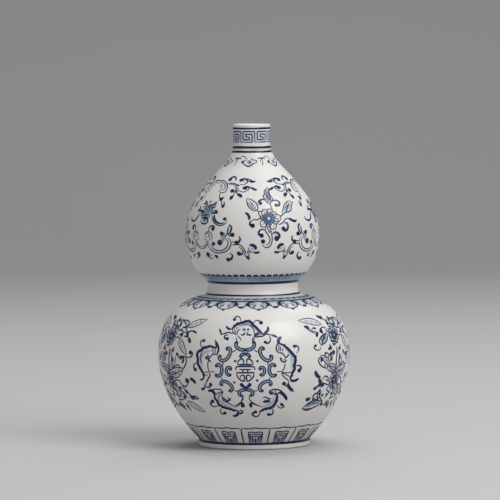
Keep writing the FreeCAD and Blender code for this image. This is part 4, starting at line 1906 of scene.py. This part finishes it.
# the five bats of a medallion, each with its own turn of the wings
BATS = (
    # top
    wing(2.1, 513, 318, 543, 288, 575, 256, 611, 242, 643, 232, 682, 220, 716, 210, 752, 214, 778,
         236, 796, 264, 826, 284, 852, 312, 878, 338, 904, 366, 930, 382),
    line(1.7, 445, 273, 468, 304, 508, 318), line(1.9, 926, 380, 966, 352, 988, 318, 985, 273),
    comma(1.1, 1.5, 636, 214, 627, 172, 604, 150, 572, 152, 552, 188),
    comma(1.0, 1.8, 803, 254, 812, 216, 845, 200, 878, 208, 898, 230),
    line(0.9, 526, 320, 536, 352, 569, 380), dot(0.8, 569, 382),
    line(0.9, 586, 384, 590, 350, 606, 326, 632, 312), line(0.7, 552, 306, 560, 340, 574, 366),
    line(0.7, 580, 286, 586, 320),
    line(1.0, 640, 268, 688, 252, 736, 256, 770, 280, 800, 320, 812, 372, 806, 410,
         tone=Tone.SOFT), wash(5.0, 552, 306, 640, 262, 740, 244, 800, 290, 856, 346),
    line(0.9, 808, 414, 830, 372, 872, 352), line(0.8, 812, 412, 852, 376, 888, 364),
    line(1.1, 810, 416, 856, 412, 910, 406, 950, 392), line(0.7, 826, 400, 868, 386, 900, 386),
    # its face
    line(1.3, 676, 304, 678, 334, tone=Tone.SOFT), line(1.3, 724, 304, 724, 334, tone=Tone.SOFT),
    line(0.6, 662, 296, 664, 336), line(0.6, 692, 300, 694, 340), line(0.6, 738, 300, 740, 338),
    line(1.2, 634, 388, 664, 388, 690, 376), dot(0.9, 684, 364, 722, 362),
    line(1.2, 704, 384, 740, 388, 774, 392), line(0.8, 588, 392, 618, 424, 640, 462),
    line(0.8, 796, 416, 786, 448, 790, 474), line(1.5, 354, 310, 372, 344, 380, 386),
    line(1.1, 378, 386, 420, 372, 470, 356, 540, 372),
    comma(1.3, 1.5, 476, 384, 430, 396, 424, 430, 458, 438),
    line(0.9, 930, 388, 978, 380, 1034, 388), line(1.7, 1030, 388, 1074, 402, 1112, 422),
    comma(1.2, 1.3, 1000, 396, 1020, 434, 1012, 476, 982, 498, 952, 482),
    # right
    line(2.0, 1166, 410, 1134, 440, 1122, 482, 1152, 510),
    wing(2.1, 1148, 504, 1190, 524, 1236, 560, 1276, 600, 1310, 640, 1342, 682, 1344, 740, 1328,
         790, 1336, 830, 1310, 872, 1294, 920, 1274, 962),
    line(1.8, 1276, 956, 1302, 986, 1350, 980, 1390, 950),
    comma(1.1, 1.4, 1360, 630, 1390, 574, 1366, 532, 1332, 536),
    comma(1.5, 1.8, 1344, 790, 1400, 788, 1418, 820, 1394, 852),
    line(1.1, 1122, 488, 1098, 540, 1100, 590, 1120, 622),
    line(1.0, 1120, 620, 1170, 626, 1202, 660, 1216, 692),
    line(0.8, 1128, 510, 1132, 560, 1124, 612), line(0.8, 1154, 536, 1150, 600),
    line(0.8, 1184, 560, 1176, 604), line(1.1, 1214, 692, 1240, 668, 1262, 640),
    pale(1.2, 1148, 680, 1160, 722, 1200, 742, 1232, 716), dot(0.9, 1164, 700, 1206, 712),
    wash(4.6, 1200, 560, 1290, 640, 1308, 740, 1290, 850),
    line(0.9, 1212, 756, 1200, 820, 1164, 874), line(0.8, 1164, 876, 1250, 880, 1308, 872),
    line(0.8, 1164, 878, 1220, 904, 1280, 936),
    line(0.9, 1164, 880, 1190, 930, 1240, 970, 1264, 1002),
    comma(1.2, 1.7, 1262, 1056, 1222, 1050, 1196, 1022),
    bold(2.1, 1254, 1004, 1252, 1050, 1280, 1090, 1322, 1126),
    # left
    line(1.6, 296, 456, 328, 510, 344, 576, 320, 656), line(1.2, 306, 480, 320, 560),
    wing(2.1, 316, 560, 270, 546, 230, 536, 190, 550, 146, 558, 126, 584, 88, 602, 66, 642, 76,
         700, 76, 760, 100, 810, 130, 860, 156, 910, 148, 956),
    line(1.5, 150, 950, 132, 970, 104, 972),
    comma(1.1, 1.4, 130, 560, 110, 510, 122, 468, 156, 462),
    comma(1.3, 1.7, 70, 752, 34, 766, 22, 806, 42, 838),
    line(1.0, 322, 644, 280, 640, 240, 668, 226, 700), line(0.8, 300, 566, 300, 636),
    line(0.8, 270, 556, 276, 634), line(0.9, 126, 604, 108, 680, 128, 764),
    pale(1.4, 168, 668, 200, 690, 222, 722, 246, 740), line(1.0, 200, 636, 214, 690, 232, 742),
    dot(0.9, 180, 700, 212, 664), wash(4.6, 270, 590, 160, 616, 112, 700, 134, 810),
    line(0.9, 212, 722, 204, 790, 216, 852), dot(0.9, 216, 856),
    line(1.1, 216, 860, 234, 910, 204, 970, 176, 1030), line(0.8, 160, 870, 208, 878),
    line(0.8, 164, 900, 204, 924), comma(1.3, 1.6, 176, 1030, 196, 1070, 232, 1062, 242, 1034),
    comma(1.5, 1.4, 164, 1030, 164, 1076, 136, 1094),
    # lower left
    line(2.1, 204, 1120, 250, 1114, 284, 1140, 296, 1182),
    line(1.0, 240, 1106, 310, 1094, 370, 1100, 400, 1126),
    line(0.8, 396, 1130, 340, 1140, 304, 1176), line(0.8, 396, 1132, 356, 1170, 340, 1220),
    dot(1.1, 396, 1130),
    wing(2.1, 290, 1172, 300, 1212, 330, 1250, 348, 1290, 390, 1320, 440, 1338, 490, 1350, 540,
         1366, 592, 1376), line(1.8, 586, 1374, 602, 1408, 572, 1440, 524, 1442),
    comma(1.3, 1.1, 600, 1384, 636, 1368, 658, 1392, 634, 1410),
    comma(1.4, 1.7, 340, 1312, 280, 1320, 240, 1284, 268, 1252),
    comma(1.2, 1.6, 380, 1344, 368, 1388, 396, 1416, 428, 1406),
    pale(1.5, 400, 1200, 430, 1232, 476, 1250), line(1.3, 428, 1264, 480, 1244, 502, 1208),
    line(0.8, 464, 1196, 486, 1232), wash(4.0, 324, 1180, 360, 1240, 430, 1300, 530, 1334),
    line(0.9, 400, 1140, 388, 1190, 412, 1244, 500, 1290, 566, 1334),
    line(0.9, 556, 1330, 620, 1292, 650, 1230, 660, 1170),
    line(2.0, 652, 1262, 660, 1298, 682, 1330),
    # lower right
    line(1.2, 1004, 1118, 1060, 1100, 1130, 1104, 1190, 1140),
    bold(2.1, 1112, 1152, 1152, 1140, 1196, 1170, 1226, 1218, 1232, 1244),
    wing(2.1, 1112, 1148, 1104, 1200, 1094, 1252, 1058, 1310, 1010, 1338, 960, 1350, 912, 1368,
         880, 1394), line(1.8, 1004, 1118, 1030, 1152, 1050, 1160),
    line(0.9, 1046, 1160, 1110, 1152), line(0.8, 1040, 1120, 1086, 1180),
    line(0.8, 1080, 1110, 1098, 1170),
    comma(1.4, 1.5, 886, 1388, 864, 1440, 816, 1450, 784, 1414, 826, 1392),
    comma(1.2, 1.5, 1100, 1300, 1150, 1340, 1194, 1318, 1164, 1292),
    comma(1.2, 1.6, 1040, 1336, 1056, 1390, 1030, 1428, 998, 1424),
    line(1.1, 920, 1210, 960, 1198, 1000, 1220, 1034, 1214),
    pale(2.0, 920, 1262, 970, 1254, 1024, 1250), line(1.0, 950, 1234, 976, 1244, 1008, 1230),
    wash(4.0, 1066, 1190, 1050, 1256, 980, 1306, 910, 1330),
    line(0.9, 744, 1220, 790, 1280, 850, 1304, 912, 1324), line(1.9, 768, 1272, 756, 1324),
)

# right half of the scrolls round the middle, which the left half mirrors
CLOUD_RING = (
    scroll(3.2, 246, 654, 318, 646, 366, 606, 368, 562, 344, 556), line(0.8, 368, 652, 420, 684),
    pale(0.7, 360, 540, 372, 484),
    scroll(3.2, 500, 652, 474, 626, 444, 650, 454, 714, 496, 770, 556, 794, 596, 764, 590, 734,
           570, 748), line(0.8, 544, 806, 552, 860),
    scroll(3.1, 650, 872, 616, 842, 576, 868, 566, 930, 594, 986, 638, 990, 654, 966),
    pale(0.8, 664, 938, 726, 936), line(0.8, 572, 1012, 566, 1050),
    scroll(3.1, 562, 1106, 590, 1104, 572, 1068, 520, 1066, 458, 1106, 438, 1152, 456, 1188, 488,
           1180), line(0.8, 414, 1180, 362, 1196),
    scroll(3.2, 246, 1168, 320, 1182, 350, 1208, 340, 1246, 314, 1240),
    comma(2.2, 1.4, 246, 1148, 290, 1130, 312, 1106),
    line(0.8, 302, 1246, 312, 1304, 366, 1352, 436, 1384),
    bold(2.0, 312, 1342, 324, 1372, 330, 1408),
    scroll(2.8, 450, 918, 446, 892, 476, 880, 502, 908, 500, 956, 470, 984, 446, 966),
    scroll(3.0, 246, 704, 292, 714, 312, 756),
)

# right half of the round fret, in millimetres from its middle
ROUNDEL = (
    line(1.3, 7.7, 6.0, 7.5, 8.5, 5.2, 10.9, 2.6, 11.7, 1.7, 10.2, 1.7, 6.0),
    wash(2.6, -2.0, 5.0, 6.6, 5.0, tone=Tone.MID), bold(1.1, -3.0, 6.1, 8.2, 6.1),
    bold(1.35, -3.0, 3.9, 7.0, 3.9, 9.1, 2.9, 9.8, 0.0), line(1.25, -2.0, 0.9, 6.2, 0.9),
    line(1.25, 2.4, 1.2, 2.4, -2.4), bold(1.45, -3.0, -2.4, 9.4, -2.4),
    line(1.4, 8.7, -2.2, 8.2, -6.0, 5.8, -9.2, 2.6, -11.3, 1.3, -10.6, 1.25, -5.4, 4.7, -5.3, 4.9,
         -7.8),
)

# small dots between the scrolls, in millimetres from the middle
BUTTONS = (
    dot(1.35, -10.2, 9.4, 12.4, 9.2, -11.4, -12.6, 11.8, -10.6, tone=Tone.MID),
)

# left half of the upright spray of two lotuses, from the one on the right
LOTUS_SPRAY = (
    leaf(7.3, 390, 238, 280, 212, 165, 206, tone=Tone.SOFT),
    bold(2.0, 338, 156, 366, 168, 398, 188), line(1.0, 390, 184, 450, 216, 490, 270),
    line(1.9, 438, 214, 450, 226, 462, 238), line(1.6, 500, 198, 510, 216),
    line(1.0, 424, 182, 446, 204, 458, 250, 486, 286),
    line(1.0, 470, 182, 520, 172, 556, 208, 552, 262), line(0.9, 500, 176, 516, 220, 520, 276),
    line(0.9, 556, 230, 590, 270, 570, 320), bold(2.2, 220, 267, 250, 272, 274, 291),
    line(0.9, 272, 290, 300, 306, 346, 324, 368, 324), pale(0.8, 240, 280, 290, 316, 334, 336),
    dot(1.3, 326, 283), line(0.8, 296, 292, 322, 274, 344, 292),
    line(1.9, 374, 297, 390, 314, 414, 326), line(1.9, 358, 326, 350, 348, 345, 370),
    line(0.9, 382, 294, 404, 270, 438, 280, 452, 300), line(1.0, 432, 300, 462, 316, 486, 320),
    line(1.1, 446, 326, 398, 362, 374, 412, 394, 452),
    line(1.1, 446, 326, 456, 376, 436, 420, 396, 452), line(0.8, 440, 340, 412, 390, 398, 444),
    line(0.7, 408, 360, 424, 380), line(0.7, 388, 392, 412, 412), line(0.7, 446, 370, 420, 396),
    wash(6.0, 436, 350, 410, 390, 400, 436, tone=Tone.SOFT),
    comma(0.9, 1.2, 396, 452, 384, 492, 346, 500, 320, 474, 338, 456), dot(2.0, 488, 474),
    line(1.6, 478, 440, 488, 474, 500, 496), bold(2.6, 500, 528, 514, 524, 530, 518),
    line(1.0, 486, 392, 516, 414, 548, 404), line(1.0, 500, 430, 524, 450, 540, 430),
    # curls and fan between the flowers
    line(1.1, 450, 684, 396, 660, 368, 616, 376, 578, 404, 572), dot(1.7, 400, 598),
    line(1.5, 404, 574, 410, 590),
    line(1.0, 428, 560, 430, 534, 456, 530, 470, 556, 456, 600, 430, 648, 440, 690),
    dot(1.3, 440, 568), line(0.9, 462, 540, 480, 548, 484, 580),
    comma(1.7, 1.6, 484, 540, 500, 560, 494, 592),
    line(1.0, 470, 610, 452, 650, 470, 690, 512, 712), leaf(6.0, 540, 716, 500, 690, 446, 682),
    leaf(5.5, 540, 712, 510, 664, 466, 646), line(0.9, 546, 706, 546, 600, 558, 470),
    line(0.9, 564, 700, 576, 600, 570, 500),
    # left of the lower flower
    bold(2.3, 332, 706, 346, 746, 374, 778), dot(1.7, 376, 772),
    line(2.1, 366, 786, 386, 832, 346, 876), bold(2.0, 350, 872, 332, 884, 312, 888),
    line(1.4, 380, 790, 384, 820, 404, 850), dot(2.0, 408, 854),
    line(1.1, 402, 796, 436, 760, 470, 786), line(1.0, 436, 792, 462, 806, 480, 792),
    line(1.0, 424, 830, 452, 846, 480, 832), line(1.9, 384, 890, 370, 920),
    line(1.1, 384, 900, 340, 936, 300, 976), line(2.0, 404, 938, 404, 966),
    line(1.9, 444, 932, 446, 956), bold(2.6, 236, 992, 260, 994, 284, 990), dot(1.8, 314, 988),
    line(1.2, 300, 972, 330, 938, 364, 936, 376, 964, 356, 992, 330, 990),
    dot(1.4, 490, 930, 544, 930), line(1.0, 470, 858, 446, 890, 474, 930),
    line(1.0, 500, 866, 506, 910, 484, 960), line(1.0, 540, 864, 558, 900, 540, 946),
    leaf(7.5, 404, 1014, 310, 1050, 200, 1084), bold(2.1, 446, 1006, 440, 1030, 426, 1056),
    line(1.7, 500, 1000, 492, 1040), line(1.3, 468, 982, 512, 968), line(1.2, 462, 176, 472, 216),
    dot(1.5, 500, 236), dot(1.8, 390, 296), line(1.6, 392, 580, 394, 622),
    line(1.2, 432, 520, 436, 552), bold(2.2, 372, 790, 384, 826, 366, 852),
    comma(1.6, 1.9, 318, 880, 362, 862, 410, 846), line(1.4, 382, 904, 374, 946),
    line(1.3, 350, 948, 356, 990), line(2.2, 442, 1062, 448, 1002),
    line(1.4, 486, 1024, 480, 1070), line(1.4, 500, 850, 512, 892), line(1.4, 540, 796, 552, 862),
    line(1.3, 582, 822, 580, 878), line(1.3, 580, 440, 582, 490), line(1.3, 616, 500, 620, 544),
    line(1.2, 524, 300, 548, 340, 540, 380), line(1.2, 500, 360, 520, 388),
    line(1.2, 470, 340, 484, 380), wash(4.4, 470, 240, 520, 250, 560, 320, tone=Tone.SOFT),
    wash(5.0, 360, 800, 400, 840, 380, 880, tone=Tone.SOFT),
    wash(4.4, 470, 830, 520, 880, 560, 930, tone=Tone.SOFT), line(1.1, 470, 1000, 466, 1044),
    # heavier edges of the lowest leaf
    line(1.3, 399, 1013, 327, 1002, 260, 1036, 216, 1074, 199, 1087),
    line(1.3, 199, 1088, 249, 1102, 316, 1075, 366, 1047, 399, 1018),
    pale(1.1, 232, 1074, 293, 1041, 371, 1019),
)

# right half of the same spray, from the one on the left of the vase
LOTUS_SIDE = (
    leaf(7.3, 415, 286, 540, 236, 668, 190), line(2.0, 270, 142, 256, 182),
    line(2.0, 240, 228, 232, 264), line(1.6, 332, 162, 298, 202), dot(1.4, 320, 264),
    line(1.4, 332, 206, 324, 260), line(1.0, 346, 186, 384, 236, 402, 290),
    line(0.9, 286, 196, 276, 250, 300, 320), line(1.0, 254, 250, 262, 310, 240, 350),
    line(1.1, 290, 330, 336, 338, 352, 366), dot(1.5, 336, 396),
    line(1.1, 350, 290, 392, 300, 415, 288), bold(2.2, 404, 410, 406, 374, 420, 350),
    comma(1.1, 1.4, 528, 384, 474, 350, 424, 356, 404, 416), dot(2.0, 328, 400),
    dot(1.6, 236, 250), line(1.9, 304, 186, 320, 212), line(2.1, 320, 246, 316, 288),
    line(1.0, 470, 340, 500, 350, 524, 370), line(1.0, 356, 410, 384, 420, 404, 406),
    bold(2.1, 422, 430, 430, 476, 446, 506), line(1.0, 250, 432, 280, 426, 300, 440),
    leaf(6.5, 300, 440, 336, 560, 388, 662),
    comma(1.1, 1.8, 376, 664, 404, 700, 454, 686, 466, 640, 440, 634), dot(1.8, 106, 578),
    dot(1.9, 112, 644), dot(1.8, 215, 606), dot(1.8, 267, 655), dot(1.8, 214, 734),
    dot(1.6, 340, 760), line(1.1, 200, 688, 214, 700, 216, 730), dot(2.2, 314, 704),
    line(1.7, 326, 676, 352, 724, 338, 766),
    line(1.1, 332, 678, 380, 704, 386, 770, 350, 850, 322, 872),
    line(1.0, 214, 842, 248, 812, 282, 800, 302, 830, 350, 846),
    leaf(5.7, 176, 912, 262, 872, 352, 852), leaf(5.2, 184, 918, 262, 936, 344, 884),
    line(0.9, 174, 560, 166, 660, 168, 890), line(0.9, 196, 580, 198, 700, 190, 880),
    line(0.9, 250, 676, 242, 760, 206, 850), leaf(5.7, 112, 800, 84, 720, 58, 642),
    dot(3.0, 400, 1014), line(1.2, 244, 1002, 290, 1006, 334, 1062, 382, 1092, 410, 1056),
    bold(2.2, 430, 984, 474, 1004, 516, 1052), line(1.7, 296, 1086, 312, 1104),
    dot(2.2, 316, 1112), bold(2.6, 376, 1136, 412, 1184), line(2.0, 308, 1186, 330, 1230),
    dot(2.1, 370, 1242), dot(1.9, 320, 1212), line(1.2, 330, 1150, 364, 1180, 372, 1220),
    line(1.4, 410, 1170, 440, 1200, 452, 1240), comma(1.8, 2.2, 560, 1256, 508, 1226, 470, 1238),
    line(1.1, 460, 1240, 500, 1256, 548, 1258), leaf(6.5, 410, 1288, 520, 1360, 646, 1432),
    bold(2.2, 248, 1268, 270, 1306, 300, 1342), line(1.1, 270, 1150, 296, 1210, 330, 1290),
    line(1.1, 204, 1090, 238, 1170, 250, 1250), line(1.0, 170, 1130, 196, 1200, 250, 1270),
    line(1.2, 300, 1340, 330, 1330, 352, 1342), comma(1.5, 1.5, 346, 1336, 370, 1356, 386, 1386),
)


@dataclass(frozen=True)
class FlowerHead:
    """A flower seen from the front, with dark petals inside outlined ones.

    Outer petals are angle and reach. The ring and the petals are shares of the reach.
    """
    petals: int
    inner: float
    outer: tuple[Point, ...]
    depth: float = 0.3
    ring: Point = (0.56, 0.8)
    ring_points: int = 20
    ring_fade: float = 0.7
    inner_petal: Sizes = (0.22, 0.6, 1.0)
    inner_width: float = 0.17
    outer_width: float = 0.31

    def paint(self, brush: Brush) -> None:
        """Draw the flower at the brush's zero point.

        Args:
            brush: the brush, with its chart set.
        """
        inner, (reach, width), count = self.inner, self.ring, self.ring_points
        turns = [FULL_TURN * i / count for i in range(count + 1)]
        ring = [(reach * inner * math.cos(a), reach * inner * math.sin(a)) for a in turns]
        brush.down()
        brush.ribbon(brush.moved(ring), [width * inner] * (count + 1),
                     [self.depth] * (count + 1), closed=True, fade=self.ring_fade)
        brush.up()
        for i in range(self.petals):
            a = FULL_TURN * (i + 0.3) / self.petals
            turns = (a, a, a + 0.05)
            brush.line([(share * inner * math.cos(t), share * inner * math.sin(t))
                        for share, t in zip(self.inner_petal, turns)],
                       self.inner_width * inner, 0.62 + self.depth * 0.6, taper=0.4)
        foot = 0.66 * inner
        for angle, reach in self.outer:
            with brush.at(turn=angle):
                wide = self.outer_width * reach
                brush.line([(foot, -wide * 0.7), (0.74 * reach, -wide), (reach, 0.0),
                            (0.74 * reach, wide), (foot, wide * 0.7)], 0.8, 0.9)
                brush.line([(0.66 * reach, 0.0), (0.9 * reach, 0.0)], 0.5, 0.55)


@dataclass(frozen=True)
class UpperBulbPainting:
    """Clouds under the neck, flower sprays, and knots with their scrolls."""
    cloud: Point = (-7.4, 291.4)
    clouds: int = 6
    flower: Point = (14.5, 235.7)
    knot: Point = (-49.0, 232.0)
    belly: float = 215.0
    repeats: int = 3
    leans: tuple[float, ...] = (0.0, 2.6, 1.2)
    head: FlowerHead = FlowerHead(12, 7.2, (
        (80, 10.6), (119, 11.0), (170, 8.8), (222, 11.6), (262, 9.0), (298, 12.4), (337, 10.6),
        (3, 13.0), (39, 10.2)))

    def paint(self, brush: Brush, view: View) -> None:
        """Draw the whole bulb.

        Args:
            brush: the brush.
            view: where the tracing sheets are seen from.
        """
        chart = Chart(brush.surface, *self.cloud)
        cloud = FRET_SHEET.traced(view, chart, COLLAR_CLOUD)
        for _ in brush.around(chart, self.clouds):
            brush.paint(cloud)
        chart = RoundChart(brush.surface, *self.flower, self.belly)
        spray = FLOWER_SHEET.traced(view, chart, FLOWER_SPRAY)
        other = RoundChart(brush.surface, *self.knot, self.belly)
        knot = KNOT_SHEET.traced(view, other, KNOT_SPRAY)
        emblem = EMBLEM_SHEET.traced(view, other, EMBLEM)
        for i in brush.around(chart, self.repeats):
            brush.paint(spray)
            self.head.paint(brush)
            brush.chart = other.turned(360.0 * i / self.repeats + self.leans[i])
            for _ in brush.mirrored():
                brush.paint(knot)
            brush.paint(emblem)


@dataclass(frozen=True)
class LowerBulbPainting:
    """Medallions of five bats round a fret roundel, and sprays between them."""
    medallion: Point = (-5.1, 84.8)
    spray: Point = (58.6, 93.0)
    left_spray: Point = (-63.2, 93.0)
    belly: float = 95.0
    repeats: int = 3
    bat_weight: float = 1.42
    roundel_weight: float = 1.16
    spray_weight: float = 1.5
    flowers: tuple[tuple[float, float, float], ...] = ((23.6, 5.6, 0.5), (-22.6, 5.8, 0.9))
    petals: int = 9
    outer: tuple[Point, ...] = tuple((angle, 9.6) for angle in range(20, 380, 40))

    def paint(self, brush: Brush, view: View) -> None:
        """Draw the whole bulb.

        Args:
            brush: the brush.
            view: where the tracing sheets are seen from.
        """
        round_chart = RoundChart(brush.surface, *self.medallion, self.belly)
        bats = BATS_SHEET.traced(view, round_chart, BATS)
        ring = RING_SHEET.traced(view, round_chart, CLOUD_RING)
        spray_chart = RoundChart(brush.surface, *self.spray, self.belly)
        spray = LOTUS_SHEET.traced(view, spray_chart, LOTUS_SPRAY)
        left_chart = RoundChart(brush.surface, *self.left_spray, self.belly)
        side = LOTUS_SIDE_SHEET.traced(view, left_chart, LOTUS_SIDE)
        for i in range(self.repeats):
            turn = 360.0 * i / self.repeats
            brush.chart, brush.weight = round_chart.turned(turn), self.bat_weight
            brush.paint(bats)
            for _ in brush.mirrored():
                brush.paint(ring)
            brush.paint(BUTTONS)
            brush.weight = self.roundel_weight
            for _ in brush.mirrored():
                brush.paint(ROUNDEL)
            brush.chart, brush.weight = spray_chart.turned(turn), self.spray_weight
            brush.paint(spray)
            brush.paint(side)
            for height, inner, depth in self.flowers:
                with brush.at(y=height):
                    FlowerHead(self.petals, inner, self.outer, depth).paint(brush)


# Studio


@dataclass(frozen=True)
class Lamp:
    """One soft square lamp: place and size in metres, power in watts, and colour."""
    name: str
    place: Place
    size: float
    power: float
    colour: Colour

    def hang(self, aim: Place) -> None:
        """Hang the lamp so that it faces a spot.

        Args:
            aim: the spot, in metres.
        """
        light = bpy.data.lights.new(self.name, "AREA")
        light.shape, light.size = "SQUARE", self.size
        light.energy, light.color = self.power, self.colour
        lamp = bpy.data.objects.new(self.name, light)
        bpy.context.collection.objects.link(lamp)
        lamp.location = self.place
        way = Vector(aim) - Vector(self.place)
        lamp.rotation_euler = way.to_track_quat("-Z", "Y").to_euler()


@dataclass(frozen=True)
class Studio:
    """Floor, backdrop, lamps and the room's own light. Sizes are in metres."""
    floor_size: float = 10.0
    floor_back: float = 3.0
    sweep: float = 1.6
    sweep_steps: int = 16
    wall: float = 5.0
    aim: Place = (0.0, 0.0, 0.17)
    lamps: tuple[Lamp, ...] = (
        Lamp("key_lamp", (1.6, -1.6, 2.2), 2.0, 66.0, (1.0, 0.99, 0.975)),
        Lamp("fill_lamp", (-2.1, -1.7, 0.9), 2.2, 6.0, (1.0, 0.965, 0.92)),
        Lamp("top_lamp", (0.2, 1.0, 2.6), 2.4, 38.0, (1.0, 1.0, 1.0)))
    room: Colour = (0.96, 0.97, 1.0)
    room_strength: float = 0.33

    def floor(self) -> bpy.types.Object:
        """Build a floor that sweeps up behind the vase.

        Returns:
            The floor.
        """
        bpy.ops.object.select_all(action="DESELECT")
        middle = (0.0, self.floor_back - self.floor_size / 2, 0.0)
        bpy.ops.mesh.primitive_plane_add(size=self.floor_size, location=middle)
        floor = bpy.context.object
        floor.name = "studio_floor"
        bpy.ops.object.transform_apply(location=True, rotation=True, scale=True)
        bpy.ops.object.mode_set(mode="EDIT")
        bpy.ops.mesh.select_mode(type="EDGE")
        bpy.ops.mesh.select_all(action="DESELECT")
        bpy.ops.object.mode_set(mode="OBJECT")
        for edge in floor.data.edges:
            edge.select = all(floor.data.vertices[v].co.y > 0 for v in edge.vertices)
        bpy.ops.object.mode_set(mode="EDIT")
        turns = [math.pi / 2 * i / self.sweep_steps for i in range(self.sweep_steps + 1)]
        for a, b in zip(turns, turns[1:]):
            move = (0.0, self.sweep * (math.sin(b) - math.sin(a)),
                    self.sweep * (math.cos(a) - math.cos(b)))
            bpy.ops.mesh.extrude_region_move(TRANSFORM_OT_translate={"value": move})
        bpy.ops.mesh.extrude_region_move(TRANSFORM_OT_translate={"value": (0, 0, self.wall)})
        bpy.ops.object.mode_set(mode="OBJECT")
        bpy.ops.object.shade_smooth()
        floor.data.materials.append(STUDIO_PAPER.material())
        return floor

    def lights(self) -> None:
        """Hang the lamps and set the room's own light."""
        for lamp in self.lamps:
            lamp.hang(self.aim)
        world = bpy.context.scene.world or bpy.data.worlds.new("studio")
        bpy.context.scene.world = world
        world.use_nodes = True
        inputs = world.node_tree.nodes["Background"].inputs
        inputs["Color"].default_value = (*self.room, 1.0)
        inputs["Strength"].default_value = self.room_strength


def report(piece: bpy.types.Object) -> None:
    """Say which piece is built."""
    log.info("%s: %d faces", piece.name, len(piece.data.polygons))


def main() -> None:
    """Build the vase, paint it, and set it in the studio."""
    logging.basicConfig(level=logging.INFO, format="%(message)s")
    bpy.context.scene.view_settings.view_transform = "Standard"
    view = View()
    view.camera()
    outline = Outline(VaseSizes())
    surface = Surface(outline)
    glaze = GlazeFinish("porcelain_glaze").material()
    clay = BARE_CLAY.material()
    for section in Vase(outline).sections():
        report(section.throw([glaze, clay] if "foot" in section.name else [glaze]))
    cobalt = GlazeFinish("cobalt_under_glaze", painted=True).material()
    for name, painting in (("neck", NeckPainting()), ("waist", WaistPainting()),
                           ("foot", FootPainting())):
        tint = Brush(surface, lift=0.03, seed=11)
        painting.tint(tint)
        report(tint.finish(f"{name}_washes", cobalt))
        brush = Brush(surface, lift=0.05, seed=7)
        painting.paint(brush)
        report(brush.finish(f"{name}_lines", cobalt))
    for name, bulb in (("upper_bulb", UpperBulbPainting()), ("lower_bulb", LowerBulbPainting())):
        brush = Brush(surface, lift=0.05, seed=5)
        bulb.paint(brush, view)
        report(brush.finish(f"{name}_painting", cobalt))
    studio = Studio()
    report(studio.floor())
    studio.lights()


if __name__ == "__main__":
    main()
